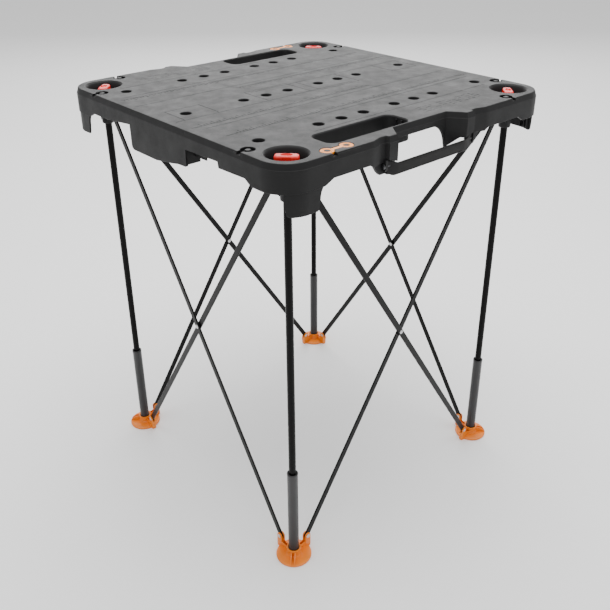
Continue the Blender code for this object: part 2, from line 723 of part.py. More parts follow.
def tube_mesh():
    """Upper leg tube."""
    return build_mesh("leg_tube", lambda bm: add_pipe(
        bm, TUBE_RADIUS, TUBE_RADIUS - TUBE_WALL, TUBE_BOTTOM, TUBE_TOP, 16))


def sleeve_mesh():
    """Lower leg sleeve that the tube slides in."""
    return build_mesh("leg_sleeve", lambda bm: add_pipe(
        bm, SLEEVE_RADIUS, SLEEVE_BORE, SLEEVE_BOTTOM, SLEEVE_TOP, 16))


def fork_planes():
    """Two forks at a corner: (matrix, plane sign), the fork's cheeks square to local Y."""
    towards_next = Matrix.Translation((EAR_REACH, -EAR_OUTWARD, 0))
    towards_last = Matrix.Translation((-EAR_OUTWARD, EAR_REACH, 0)) @ Matrix.Rotation(-QUARTER, 4, "Z")
    return towards_next, towards_last


def draw_arms(bm, shifts, low, high):
    """Flat arms from the leg's axis out under or over the forks."""
    half_thick = BAR_THICKNESS / 2 + GAP + CHEEK + ARM_MARGIN
    for matrix, shift, way in zip(fork_planes(), shifts, (1, -1)):
        near, far = sorted((way * (ARM_ROOT - EAR_REACH), way * (EAR_RADIUS + ARM_MARGIN)))
        outline = [(near, shift - half_thick), (far, shift - half_thick), (far, shift + half_thick),
                   (near, shift + half_thick)]
        add_prism(bm, outline, low, high, matrix)


def draw_forks(bm, shifts, pivot_z, root_z):
    """Solid fork blocks, rounded round the pivot and running to their root."""
    half_thick = BAR_THICKNESS / 2 + GAP + CHEEK
    for matrix, shift in zip(fork_planes(), shifts):
        direction = 1 if root_z > pivot_z else -1
        profile = [(EAR_RADIUS * math.cos(a), pivot_z - direction * EAR_RADIUS * math.sin(a))
                   for a in [math.pi * i / 5 for i in range(6)]]
        profile += [(-EAR_RADIUS, root_z), (EAR_RADIUS, root_z)]
        add_loft(bm, [[matrix @ Vector((x, shift + side * half_thick, z)) for x, z in profile]
                      for side in (-1, 1)])


def draw_fork_slots(bm, shifts, pivot_z, root_z):
    """Slots for the bar ends."""
    direction = 1 if root_z > pivot_z else -1
    half_slot = BAR_THICKNESS / 2 + GAP
    closed = pivot_z + direction * (BAR_WIDTH / 2 + FORK_SLOT_ROOT)
    opened = pivot_z - direction * FORK_SLOT_REACH
    low, high = min(closed, opened), max(closed, opened)
    for matrix, shift in zip(fork_planes(), shifts):
        outline = [(-FORK_SLOT_HALF, shift - half_slot), (FORK_SLOT_HALF, shift - half_slot),
                   (FORK_SLOT_HALF, shift + half_slot), (-FORK_SLOT_HALF, shift + half_slot)]
        add_prism(bm, outline, low, high, matrix)


def draw_fork_bores(bm, shifts, pivot_z):
    """Rivet bores through the cheeks."""
    for matrix, shift in zip(fork_planes(), shifts):
        place = matrix @ Matrix.Translation((0, shift, pivot_z)) @ Matrix.Rotation(QUARTER, 4, "X")
        radius = RIVET_RADIUS + GAP
        add_turned(bm, ((radius, -FORK_BORE_REACH), (radius, FORK_BORE_REACH)), 8, place)


def foot_mesh():
    """Foot: round pad, socket, two forks and a fin that points out along the diagonal."""
    outward = Matrix.Rotation(math.radians(225), 4, "Z")

    def pad(bm):
        add_turned(bm, ((FOOT_RADIUS - FOOT_CHAMFER, 0.0), (FOOT_RADIUS, FOOT_CHAMFER),
                        (FOOT_RADIUS - FOOT_DRAFT, FOOT_THICKNESS)), 24)

    def socket(bm):
        add_turned(bm, ((SOCKET_RADIUS + 0.001, 0.002), (SOCKET_RADIUS, SOCKET_TOP)), 16)

    def lobes(bm):
        draw_arms(bm, FOOT_SHIFTS, 0.0, FOOT_THICKNESS - 0.0004)

    def forks(bm):
        draw_forks(bm, FOOT_SHIFTS, FOOT_PIVOT_Z, FOOT_FORK_ROOT)

    def fin(bm):
        add_loft(bm, [[outward @ Vector((x, y, z)) for x, z in FIN_PROFILE] for y in (-FIN_HALF, FIN_HALF)])

    def slots(bm):
        draw_fork_slots(bm, FOOT_SHIFTS, FOOT_PIVOT_Z, FOOT_FORK_ROOT)

    def bores(bm):
        draw_fork_bores(bm, FOOT_SHIFTS, FOOT_PIVOT_Z)

    def sleeve_bore(bm):
        radius = SLEEVE_RADIUS + GAP
        add_turned(bm, ((radius, SLEEVE_BOTTOM - GAP), (radius, FOOT_BORE_TOP)), 16)

    return carve("foot", pad, [("UNION", lobes), ("UNION", socket), ("UNION", forks), ("UNION", fin),
                               ("DIFFERENCE", slots), ("DIFFERENCE", bores), ("DIFFERENCE", sleeve_bore)])


def bracket_mesh():
    """Head of a leg: socket for the tube, two forks that hang from it and two bearing pads on top."""
    def boss(bm):
        add_turned(bm, ((BRACKET_RADIUS, BRACKET_BOTTOM), (BRACKET_RADIUS, BRACKET_TOP)), 16)

    def plate(bm):
        near, step, far = BRACKET_PLATE_NEAR, BRACKET_PLATE_STEP, BRACKET_PLATE_FAR
        outline = [(far, -step), (step, -far), (near, -far), (-far, near),
                   (-far, step), (-step, far), (-near, far), (far, -near)]
        add_prism(bm, outline[::-1], BRACKET_TOP - BRACKET_PLATE_DEPTH, BRACKET_TOP - 0.0002)

    def arms(bm):
        draw_arms(bm, BRACKET_SHIFTS, BRACKET_TOP - BRACKET_ARM_DEPTH, BRACKET_TOP - 0.0004)

    def forks(bm):
        draw_forks(bm, BRACKET_SHIFTS, TOP_PIVOT_Z, BRACKET_TOP - BRACKET_FORK_DEPTH)

    def pads(bm):
        high = TABLE_HEIGHT - WELL_DEPTH - WELL_FLOOR - GAP
        across = Matrix.Rotation(math.radians(-45), 4, "Z")
        for sign in (-1, 1):
            outline = rounded_box(*BEARING_HALF, BEARING_ROUND, 1, (sign * BEARING_ALONG, 0.0))
            add_prism(bm, outline, BRACKET_TOP - BEARING_EMBED, high, across)

    def slots(bm):
        draw_fork_slots(bm, BRACKET_SHIFTS, TOP_PIVOT_Z, BRACKET_TOP)

    def bores(bm):
        draw_fork_bores(bm, BRACKET_SHIFTS, TOP_PIVOT_Z)

    def tube_bore(bm):
        radius = TUBE_RADIUS + GAP
        add_turned(bm, ((radius, TUBE_SEAT_LOW), (radius, TUBE_SEAT_HIGH)), 16)

    return carve("leg_head", boss, [("UNION", plate), ("UNION", arms), ("UNION", forks), ("UNION", pads),
                                    ("DIFFERENCE", slots), ("DIFFERENCE", bores), ("DIFFERENCE", tube_bore)])


def bar_mesh():
    """Scissor bar along X with round ends and three rivet holes, centred on the middle one."""
    half = BAR_LENGTH / 2
    radius = BAR_WIDTH / 2
    flat = Matrix.Rotation(QUARTER, 4, "X")

    def strip(bm):
        outline = []
        for sign in (1, -1):
            for i in range(7):
                angle = -QUARTER + math.pi * i / 6
                outline.append((sign * (half + radius * math.cos(angle)), sign * radius * math.sin(angle)))
        add_prism(bm, outline, -BAR_THICKNESS / 2, BAR_THICKNESS / 2, flat)

    def holes(bm):
        for x in (-half, 0.0, half):
            add_prism(bm, circle(RIVET_RADIUS + GAP, 10, (x, 0)), -CUT_PAST, CUT_PAST, flat)

    return carve("scissor_bar", strip, [("DIFFERENCE", holes)])


def rivet_mesh(name, half_grip):
    """Rivet along Y with a head on both ends."""
    flat = Matrix.Rotation(QUARTER, 4, "X")
    inner = half_grip + GAP / 2
    outer = inner + RIVET_HEAD_HEIGHT
    profile = ((RIVET_HEAD, -outer), (RIVET_HEAD, -inner), (RIVET_RADIUS, -inner),
               (RIVET_RADIUS, inner), (RIVET_HEAD, inner), (RIVET_HEAD, outer))
    return build_mesh(name, lambda bm: add_turned(bm, profile, 10, flat))


# ---------------------------------------------------------------- assembly

def joint_empty(name, position, parent=None):
    """Empty on a joint's axis that carries one moving body."""
    empty = bpy.data.objects.new(name, None)
    bpy.context.scene.collection.objects.link(empty)
    empty.location = position
    empty["world"] = list(position)
    if parent is not None:
        empty.parent = parent
        empty.location = Vector(position) - Vector(parent["world"])
    return empty


def add_part(name, mesh, surface, position, spin=0.0, tilt=0.0, parent=None):
    """Place one named sub-part with its own material slot, turned by tilt about Y and then spin about Z."""
    part = bpy.data.objects.new(name, mesh.copy())
    part.data.name = name
    part.data.materials.clear()
    part.data.materials.append(surface)
    bpy.context.scene.collection.objects.link(part)
    part.location = position
    part.rotation_euler = (0.0, tilt, spin)
    if parent is not None:
        part.parent = parent
        part.location = Vector(position) - Vector(parent["world"])
    return part


def bar_name(start, end):
    """Name of the bar from one corner's leg head down to another corner's foot."""
    return f"bar_{start}_to_{end}"


def side_and_way(start, end):
    """Side that a bar lies on and whether it falls from the side's first corner."""
    falls_forward = end == start % 4 + 1
    return (start if falls_forward else end), falls_forward


def bar_pivot(start, end, where):
    """World position of a bar's top, middle or foot pivot, in the bar's own plane."""
    side, forward = side_and_way(start, end)
    along = {"top": -PIVOT_HALF_SPAN, "middle": 0.0, "foot": PIVOT_HALF_SPAN}[where]
    z = {"top": TOP_PIVOT_Z, "middle": CROSSING_Z, "foot": FOOT_PIVOT_Z}[where]
    plane = SIDE_PLANE + (BAR_PLANE if forward else -BAR_PLANE)
    return turned_point(side, along if forward else -along, -plane, z)


def leg_point(corner, z=0.0):
    """World point on a leg's axis."""
    return turned_point(corner, -LEG_OFFSET, -LEG_OFFSET, z)


def add_leg_head(corner, meshes, surfaces, parent):
    """Leg tube and its head."""
    add_part(f"leg_tube_{corner}", meshes["tube"], surfaces["tube"], leg_point(corner), turn(corner),
             0.0, parent)
    add_part(f"leg_head_{corner}", meshes["bracket"], surfaces["bracket"], leg_point(corner), turn(corner),
             0.0, parent)


def add_foot(corner, meshes, surfaces, parent):
    """Foot, lower sleeve and the two rivets in the forks."""
    add_part(f"foot_{corner}", meshes["foot"], surfaces["foot"], leg_point(corner), turn(corner), 0.0, parent)
    add_part(f"leg_sleeve_{corner}", meshes["sleeve"], surfaces["sleeve"], leg_point(corner), turn(corner),
             0.0, parent)
    next_corner = corner % 4 + 1
    last_corner = (corner - 2) % 4 + 1
    for label, start in (("a", next_corner), ("b", last_corner)):
        side, _ = side_and_way(start, corner)
        add_part(f"foot_rivet_{corner}{label}", meshes["foot_rivet"], surfaces["rivet"],
                 bar_pivot(start, corner, "foot"), turn(side), 0.0, parent)


def add_bar(start, end, meshes, surfaces, parent, where):
    """One scissor bar on an empty at the pivot that drives it; returns the empty."""
    side, forward = side_and_way(start, end)
    empty = joint_empty(f"joint_{bar_name(start, end)}", bar_pivot(start, end, where), parent)
    tilt = BAR_ANGLE if forward else -BAR_ANGLE
    place = bar_pivot(start, end, "middle")
    add_part(bar_name(start, end), meshes["bar"], surfaces["bar"], place, turn(side), tilt, empty)
    return empty


def add_side_rivet(side, meshes, surfaces, parent):
    """Rivet where a side's two bars cross."""
    add_part(f"cross_rivet_{side}", meshes["cross_rivet"], surfaces["rivet"],
             turned_point(side, 0.0, -SIDE_PLANE, CROSSING_Z), turn(side), 0.0, parent)


def add_leg_frame(meshes, surfaces):
    """Legs and bars as one tree that opens from leg 1, each body on an empty at its joint."""
    post_1 = joint_empty("joint_post_1", leg_point(1, TOP_PIVOT_Z))
    add_leg_head(1, meshes, surfaces, post_1)
    bar_12 = add_bar(1, 2, meshes, surfaces, post_1, "top")
    add_side_rivet(1, meshes, surfaces, bar_12)
    add_foot(2, meshes, surfaces, joint_empty("joint_foot_2", bar_pivot(1, 2, "foot"), bar_12))
    bar_21 = add_bar(2, 1, meshes, surfaces, bar_12, "middle")
    add_foot(1, meshes, surfaces, joint_empty("joint_foot_1", bar_pivot(2, 1, "foot"), bar_21))
    post_2 = joint_empty("joint_post_2", bar_pivot(2, 1, "top"), bar_21)
    add_leg_head(2, meshes, surfaces, post_2)
    bar_23 = add_bar(2, 3, meshes, surfaces, post_2, "top")
    add_side_rivet(2, meshes, surfaces, bar_23)
    add_foot(3, meshes, surfaces, joint_empty("joint_foot_3", bar_pivot(2, 3, "foot"), bar_23))
    bar_32 = add_bar(3, 2, meshes, surfaces, bar_23, "middle")
    post_3 = joint_empty("joint_post_3", bar_pivot(3, 2, "top"), bar_32)
    add_leg_head(3, meshes, surfaces, post_3)
    bar_14 = add_bar(1, 4, meshes, surfaces, post_1, "top")
    add_side_rivet(4, meshes, surfaces, bar_14)
    add_foot(4, meshes, surfaces, joint_empty("joint_foot_4", bar_pivot(1, 4, "foot"), bar_14))
    bar_41 = add_bar(4, 1, meshes, surfaces, bar_14, "middle")
    post_4 = joint_empty("joint_post_4", bar_pivot(4, 1, "top"), bar_41)
    add_leg_head(4, meshes, surfaces, post_4)
    bar_43 = add_bar(4, 3, meshes, surfaces, post_4, "top")
    add_side_rivet(3, meshes, surfaces, bar_43)
    add_bar(3, 4, meshes, surfaces, bar_43, "middle")


def add_top_fittings(meshes, surfaces):
    """Knobs and spindles, bails and their pins, and the two stored clips."""
    for corner in (1, 2, 3, 4):
        across = turn(corner) - math.radians(45)
        spot = leg_point(corner, TABLE_HEIGHT)
        hub = joint_empty(f"joint_knob_{corner}", spot)
        add_part(f"knob_{corner}", meshes["knob"], surfaces["knob"], spot, across, 0.0, hub)
        add_part(f"knob_spindle_{corner}", meshes["spindle"], surfaces["spindle"], spot, across, 0.0, hub)
    for label, side in (("front", 1), ("back", 3)):
        axis = turned_point(side, 0.0, -BAIL_PIN_Y, TABLE_HEIGHT - BAIL_PIN_DEPTH)
        add_part(f"bail_{label}", meshes["bail"], surfaces["bail"], axis, turn(side))
        for end, sign in (("left", -1), ("right", 1)):
            spot = turned_point(side, sign * PIN_MIDDLE, -BAIL_PIN_Y, TABLE_HEIGHT - BAIL_PIN_DEPTH)
            add_part(f"bail_pin_{label}_{end}", meshes["bail_pin"], surfaces["rivet"], spot, turn(side))
    clip_z = TABLE_HEIGHT - NOTCH_DEPTH + GAP + CLIP_THICKNESS / 2
    for label, (first, second) in zip(("front", "back"), clip_seats()):
        spot = Vector(((first[0] + second[0]) / 2, first[1], clip_z))
        add_part(f"clip_{label}", meshes["clip"], surfaces["clip"], spot)


def main():
    """Build every sub-part."""
    for item in list(bpy.data.objects):
        bpy.data.objects.remove(item)
    surfaces = {
        "top": material("top_plastic", (0.105, 0.105, 0.108), 0.62),
        "knob": material("red_plastic", (0.75, 0.02, 0.02), 0.35),
        "spindle": material("spindle_steel", (0.30, 0.30, 0.31), 0.40, 1.0),
        "bail": material("bail_plastic", (0.030, 0.030, 0.031), 0.50),
        "clip": material("clip_plastic", (0.90, 0.33, 0.04), 0.45),
        "tube": material("tube_enamel", (0.018, 0.016, 0.016), 0.30, 0.4),
        "bracket": material("bracket_plastic", (0.025, 0.025, 0.026), 0.50),
        "sleeve": material("sleeve_enamel", (0.040, 0.040, 0.042), 0.38, 0.3),
        "bar": material("bar_enamel", (0.022, 0.021, 0.021), 0.32, 0.4),
        "foot": material("foot_plastic", (0.90, 0.20, 0.005), 0.38),
        "rivet": material("rivet_steel", (0.62, 0.62, 0.63), 0.28, 1.0),
    }
    fork_half = BAR_THICKNESS / 2 + GAP + CHEEK
    meshes = {
        "bail": bail_mesh(),
        "bail_pin": bail_pin_mesh(),
        "knob": knob_mesh(),
        "spindle": spindle_mesh(),
        "clip": clip_mesh(),
        "tube": tube_mesh(),
        "sleeve": sleeve_mesh(),
        "foot": foot_mesh(),
        "bracket": bracket_mesh(),
        "bar": bar_mesh(),
        "foot_rivet": rivet_mesh("foot_rivet", fork_half),
        "cross_rivet": rivet_mesh("cross_rivet", BAR_PLANE + BAR_THICKNESS / 2),
    }
    add_part("tabletop", top_mesh(), surfaces["top"], Vector((0, 0, 0)))
    add_top_fittings(meshes, surfaces)
    add_leg_frame(meshes, surfaces)


main()
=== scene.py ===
"""Studio scene of a folding work table on scissor legs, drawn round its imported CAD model.

Corners are numbered 1 to 4 counter-clockwise from (-X, -Y), and side 1 runs from corner 1 to corner 2.
Shapes that repeat are drawn once, at corner 1 or side 1, and turned to the others.
"""
import json
import math

import bmesh
import bpy
from mathutils import Matrix, Vector


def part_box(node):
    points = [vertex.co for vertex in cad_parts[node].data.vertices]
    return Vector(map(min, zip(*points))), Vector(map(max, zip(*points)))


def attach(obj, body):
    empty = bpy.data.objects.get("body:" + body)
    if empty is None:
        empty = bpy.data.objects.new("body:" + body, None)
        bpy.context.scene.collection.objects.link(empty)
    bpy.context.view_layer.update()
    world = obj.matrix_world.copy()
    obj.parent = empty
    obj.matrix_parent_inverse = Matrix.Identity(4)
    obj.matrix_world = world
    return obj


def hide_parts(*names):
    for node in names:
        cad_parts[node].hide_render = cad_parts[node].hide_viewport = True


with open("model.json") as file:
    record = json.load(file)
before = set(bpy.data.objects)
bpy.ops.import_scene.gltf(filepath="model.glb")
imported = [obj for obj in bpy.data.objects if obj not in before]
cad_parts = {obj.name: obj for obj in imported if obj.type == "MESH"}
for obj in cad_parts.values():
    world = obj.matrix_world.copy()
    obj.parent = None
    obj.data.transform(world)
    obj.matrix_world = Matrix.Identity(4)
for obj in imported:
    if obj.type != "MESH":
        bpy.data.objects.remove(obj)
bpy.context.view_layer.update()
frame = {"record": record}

QUARTER = math.pi / 2
CORNERS = (1, 2, 3, 4)

# ---------------------------------------------------------------- sizes taken from the frame

TOP_LOW, TOP_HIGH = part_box("tabletop")
HEIGHT = TOP_HIGH.z
HALF = TOP_HIGH.x
TUBE_LOW, TUBE_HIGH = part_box("leg_tube_1")
LEG = -(TUBE_LOW.x + TUBE_HIGH.x) / 2
TUBE_RADIUS = (TUBE_HIGH.x - TUBE_LOW.x) / 2
SLEEVE_LOW, SLEEVE_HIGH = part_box("leg_sleeve_1")
SLEEVE_RADIUS = (SLEEVE_HIGH.x - SLEEVE_LOW.x) / 2
FOOT_RADIUS = -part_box("foot_1")[0].x - LEG
HEAD_LOW, HEAD_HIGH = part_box("leg_head_1")
CORNER_RADIUS = HALF - LEG


def middle(node):
    """Middle of a CAD node's box."""
    low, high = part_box(node)
    return (low + high) / 2


BAR_LOW, BAR_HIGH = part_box("bar_1_to_2")
CROSSING = middle("bar_1_to_2")
BAR_WIDTH = 0.011
BAR_THICKNESS = BAR_HIGH.y - BAR_LOW.y
PIVOT_HALF_SPAN = BAR_HIGH.x - BAR_WIDTH / 2
PIVOT_HALF_RISE = (BAR_HIGH.z - BAR_LOW.z) / 2 - BAR_WIDTH / 2
HEAD_PIVOT_Z = CROSSING.z + PIVOT_HALF_RISE
FOOT_PIVOT_Z = CROSSING.z - PIVOT_HALF_RISE
BAR_ANGLE = math.atan2(PIVOT_HALF_RISE, PIVOT_HALF_SPAN)
EAR_REACH = LEG - PIVOT_HALF_SPAN
FOOT_PLANES = (middle("foot_rivet_1a").y + LEG, middle("foot_rivet_1b").x + LEG)
HEAD_PLANES = (middle("bar_1_to_2").y + LEG, middle("bar_1_to_4").x + LEG)

# ---------------------------------------------------------------- sizes of the moulding

DECK = 0.004
WALL = 0.004
LIP_HEIGHT = 0.0095
LIP_INSET = 0.0035
SKIRT_DEPTH = 0.0365
APRON_DEPTH = 0.0455
FLANGE_DEPTH = HEIGHT - TOP_LOW.z
TROUGH_DEPTH = 0.072
LATCH_DEPTH = 0.0605
ARCH_DEPTH = 0.028
FLANGE_INSET = 0.0014
BLOCK_DEPTH = 0.0415
BLOCK_LUG_DEPTH = 0.0370
BLOCK_CORNER_DEPTH = 0.0430
RECESS_LEG_DEPTH = 0.0620
RECESS_WALL_DEPTH = 0.0195
RECESS_MOUTH = 0.0855
RECESS_BACK = 0.0636
RECESS_INSET = 0.0285
ARCH_LEFT = -0.0500
ARCH_RIGHT = 0.0300
BLOCK_START = 0.1465
CHANNEL_RAMP = 0.1365
CHANNEL_OUTER = 0.1180
CHANNEL_INNER = 0.1075
CHANNEL_LIP = 0.1050
CHANNEL_INSET = 0.006
BLOCK_WALL = 0.009
HOLE_RADIUS = 0.0098
HOLE_ROW = 0.196
HOLE_COLUMNS = (0.038, 0.089, 0.140, 0.2625)
SLOT_CENTRE = (-0.105, -0.258)
SLOT_HALF = (0.089, 0.0255)
SLOT_RADIUS = 0.015
SLOT_WALL_DEPTH = 0.031
WELL_RADIUS = 0.0315
WELL_FLOOR_RADIUS = 0.0285
WELL_DEPTH = 0.0215
WELL_FLOOR = 0.004
WELL_BORE = 0.0053
NOTCH_ALONG = 0.218
NOTCH_INSET = 0.020
NOTCH_RADIUS = 0.0115
NOTCH_DEPTH = 0.0048
NOTCH_PIN = 0.0048
NOTCH_NECK = 0.0085
NOTCH_PAD_DEPTH = 0.009
NOTCH_PAD_RIM = 0.0025
NOTCH_PAD_HALF = 0.0155
NOTCH_PAD_INSET = 0.0175
CLIP_SPACING = 0.039
CLIP_CLEARANCE = 0.0005
SLOT_WALL = 0.0028
SKIRT_START = (-0.2215, SKIRT_DEPTH)
SKIRT_END = [(0.2335, SKIRT_DEPTH), (0.248, APRON_DEPTH)]
EDGE_EASE = 0.0007
FLANGE_WALL = 0.0032
RIB_HALF = 0.0009
RIB_END = 0.003
RIB_TOP = 0.002
RIBS_ALONG = (-0.163, -0.118, -0.059, 0.059, 0.118, 0.163)
RIBS_MIDDLE = (-0.0205, 0.0205)
RIBS_ACROSS = (-0.230, -0.163, -0.115, -0.0635, 0.0, 0.0635, 0.115, 0.163, 0.230)
RIB_REACH = 0.2310
HANDLE_SIDES = (1, 3)
TROUGH_SIDES = (2, 4)
SIGNS = (1, -1)
PIN_DEPTH = 0.048
PIN_INSET = 0.005
PIN_MIDDLE = 0.1122
PIN_RADIUS = 0.0023
PIN_BORE = 0.0026
EAR_INNER = 0.1060
GAP = 0.0003


# ---------------------------------------------------------------- mesh tools

UNTURNED = Matrix.Identity(4)


def arc(radius, start, sweep, steps, centre=(0.0, 0.0)):
    """Points of an arc in a plane, both ends with it."""
    angles = [start + sweep * i / steps for i in range(steps + 1)]
    return [(centre[0] + radius * math.cos(a), centre[1] + radius * math.sin(a)) for a in angles]


def circle(radius, segments, centre=(0.0, 0.0)):
    """Points of a circle in the XY plane, counter-clockwise."""
    step = 2 * math.pi / segments
    return [(centre[0] + radius * math.cos(i * step), centre[1] + radius * math.sin(i * step))
            for i in range(segments)]


def rounded_box(half_x, half_y, radius, segments, centre=(0.0, 0.0)):
    """Outline of a rectangle with round corners, counter-clockwise."""
    points = []
    for quarter, (sx, sy) in enumerate(((1, 1), (-1, 1), (-1, -1), (1, -1))):
        corner = (centre[0] + sx * (half_x - radius), centre[1] + sy * (half_y - radius))
        points += arc(radius, quarter * QUARTER, QUARTER, segments, corner)
    return points


def add_loft(bm, rings):
    """Closed body through rings of 3-D points with the same count, bottom ring first."""
    rows = [[bm.verts.new(point) for point in ring] for ring in rings]
    count = len(rows[0])
    for lower, upper in zip(rows, rows[1:]):
        for i in range(count):
            j = (i + 1) % count
            bm.faces.new((lower[i], lower[j], upper[j], upper[i]))
    bm.faces.new(rows[0][::-1])
    bm.faces.new(rows[-1])


def add_stack(bm, outline, steps):
    """Closed body of a plan outline, a function of its inset, at each (inset, z) step."""
    add_loft(bm, [[(x, y, z) for x, y in outline(inset)] for inset, z in steps])


def add_prism(bm, outline, low, high, matrix=UNTURNED):
    """Closed prism of a counter-clockwise outline between two heights."""
    add_loft(bm, [[matrix @ Vector((x, y, z)) for x, y in outline] for z in (low, high)])


def add_box(bm, low, high, matrix=UNTURNED):
    """Closed box between two corners."""
    outline = [(low[0], low[1]), (high[0], low[1]), (high[0], high[1]), (low[0], high[1])]
    add_prism(bm, outline, low[2], high[2], matrix)


def add_turned(bm, profile, segments, matrix=UNTURNED):
    """Closed turned body about Z from (radius, z) pairs, bottom first."""
    add_loft(bm, [[matrix @ Vector((x, y, z)) for x, y in circle(radius, segments)] for radius, z in profile])


def add_ring(bm, section, segments, matrix=UNTURNED):
    """Ring about Z swept from a closed (radius, z) section."""
    rows = [[bm.verts.new(matrix @ Vector((x, y, z))) for x, y in circle(radius, segments)]
            for radius, z in section]
    for first, second in zip(rows, rows[1:] + rows[:1]):
        for i in range(segments):
            j = (i + 1) % segments
            bm.faces.new((first[i], first[j], second[j], second[i]))


def drawn(tool, *arguments):
    """Fill function that draws one shape into a mesh."""
    return lambda bm: tool(bm, *arguments)


def build_mesh(name, fill, sharp=32):
    """Mesh filled in by a function that draws into a bmesh, with round surfaces shaded smooth."""
    bm = bmesh.new()
    fill(bm)
    bmesh.ops.recalc_face_normals(bm, faces=bm.faces)
    mesh = bpy.data.meshes.new(name)
    bm.to_mesh(mesh)
    bm.free()
    mesh.shade_smooth()
    mesh.set_sharp_from_angle(angle=math.radians(sharp))
    return mesh


def carve(name, base, steps, sharp=32):
    """Apply Boolean steps, pairs of an operation and a fill function, to a base and return the mesh."""
    body = bpy.data.objects.new(name + "_base", build_mesh(name + "_base", base))
    bpy.context.scene.collection.objects.link(body)
    tools = []
    for index, (operation, fill) in enumerate(steps):
        tool = bpy.data.objects.new(f"{name}_tool_{index}", build_mesh(f"{name}_tool_{index}", fill))
        bpy.context.scene.collection.objects.link(tool)
        tools.append(tool)
        step = body.modifiers.new(tool.name, "BOOLEAN")
        step.object = tool
        step.operation = operation
        step.solver = "EXACT"
    graph = bpy.context.evaluated_depsgraph_get()
    result = bpy.data.meshes.new_from_object(body.evaluated_get(graph))
    result.name = name
    for helper in tools + [body]:
        bpy.data.objects.remove(helper)
    result.shade_smooth()
    result.set_sharp_from_angle(angle=math.radians(sharp))
    for face in result.polygons:
        if abs(face.normal.z) > 0.9995:
            face.use_smooth = False
    return result


def turn(corner):
    """Turn about Z that takes corner 1 or side 1 to the numbered one."""
    return (corner - 1) * QUARTER


def spin(corner):
    """Matrix that carries corner 1 or side 1 to the numbered one."""
    return Matrix.Rotation(turn(corner), 4, "Z")


def turned_point(corner, x, y, z):
    """World point of corner 1 or side 1 coordinates carried to the numbered corner or side."""
    return spin(corner) @ Vector((x, y, z))


def well_place(corner):
    """Matrix that moves a piece onto the axis shared by a corner's well, knob and leg, unturned."""
    return Matrix.Translation(turned_point(corner, -LEG, -LEG, 0))


def hole_places():
    """(x, y) of the dog holes."""
    return [(x, y) for y in (-HOLE_ROW, 0.0, HOLE_ROW) for column in HOLE_COLUMNS for x in (-column, column)]


def leg_axis(corner):
    """Matrix of a leg's own axes: origin on the floor, +X to the next leg and +Y to the last one."""
    return spin(corner) @ Matrix.Translation((-LEG, -LEG, 0.0))


def add_piece(name, mesh, finish, body, stands_for, place=UNTURNED):
    """One visible piece, set in place, that rides on a body and stands for CAD nodes."""
    slot_name, surface = FINISHES[finish]
    data = mesh.copy()
    data.name = name + "_mesh"
    data.transform(place)
    data.materials.clear()
    data.materials.append(surface)
    piece = bpy.data.objects.new(name, data)
    bpy.context.scene.collection.objects.link(piece)
    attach(piece, body)
    if stands_for:
        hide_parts(*stands_for)


# ---------------------------------------------------------------- materials

class Shading:
    """Small helper that wires one material's nodes."""

    def __init__(self, name):
        self.material = bpy.data.materials.new(name)
        self.material.use_nodes = True
        self.nodes = self.material.node_tree.nodes
        self.links = self.material.node_tree.links
        self.shader = self.nodes["Principled BSDF"]
        self.place = self.nodes.new("ShaderNodeTexCoord").outputs["Object"]

    def stretched(self, scale):
        """Object coordinates scaled differently along each axis."""
        mapping = self.nodes.new("ShaderNodeMapping")
        mapping.inputs["Scale"].default_value = scale
        self.links.new(self.place, mapping.inputs["Vector"])
        return mapping.outputs["Vector"]

    def noise(self, scale, detail=3.0, roughness=0.55, vector=None):
        """Value of a noise texture."""
        texture = self.nodes.new("ShaderNodeTexNoise")
        texture.inputs["Scale"].default_value = scale
        texture.inputs["Detail"].default_value = detail
        texture.inputs["Roughness"].default_value = roughness
        self.links.new(vector or self.place, texture.inputs["Vector"])
        return texture.outputs["Fac"]

    def spread(self, value, low, high, from_low=0.3, from_high=0.7):
        """A value remapped to a range."""
        node = self.nodes.new("ShaderNodeMapRange")
        node.inputs["From Min"].default_value = from_low
        node.inputs["From Max"].default_value = from_high
        node.inputs["To Min"].default_value = low
        node.inputs["To Max"].default_value = high
        self.links.new(value, node.inputs["Value"])
        return node.outputs["Result"]

    def blend(self, factor, first, second):
        """Colour mixed from two colours or sockets."""
        node = self.nodes.new("ShaderNodeMix")
        node.data_type = "RGBA"
        self.links.new(factor, node.inputs["Factor"])
        for socket, value in ((node.inputs["A"], first), (node.inputs["B"], second)):
            if isinstance(value, tuple):
                socket.default_value = (*value, 1.0)
            else:
                self.links.new(value, socket)
        return node.outputs["Result"]

    def add(self, first, second):
        """Sum of two values."""
        node = self.nodes.new("ShaderNodeMath")
        node.operation = "ADD"
        self.links.new(first, node.inputs[0])
        self.links.new(second, node.inputs[1])
        return node.outputs["Value"]

    def bump(self, height, strength, distance, under=None):
        """Surface relief from a height value, laid over an earlier relief."""
        node = self.nodes.new("ShaderNodeBump")
        node.inputs["Strength"].default_value = strength
        node.inputs["Distance"].default_value = distance
        self.links.new(height, node.inputs["Height"])
        if under is not None:
            self.links.new(under, node.inputs["Normal"])
        return node.outputs["Normal"]

    def scuffs(self, density):
        """Mask of short fine scratches in two directions."""
        first = self.spread(self.noise(9.0, 4.0, 0.7, self.stretched((60.0, 3.0, 14.0))), 0.0, 1.0,
                            1.0 - density, 1.06 - density)
        second = self.spread(self.noise(9.0, 4.0, 0.7, self.stretched((3.0, 55.0, 17.0))), 0.0, 1.0,
                             1.0 - density, 1.06 - density)
        return self.add(first, second)


def shade(colour, factor):
    """A colour made lighter or darker."""
    return tuple(min(1.0, c * factor) for c in colour)


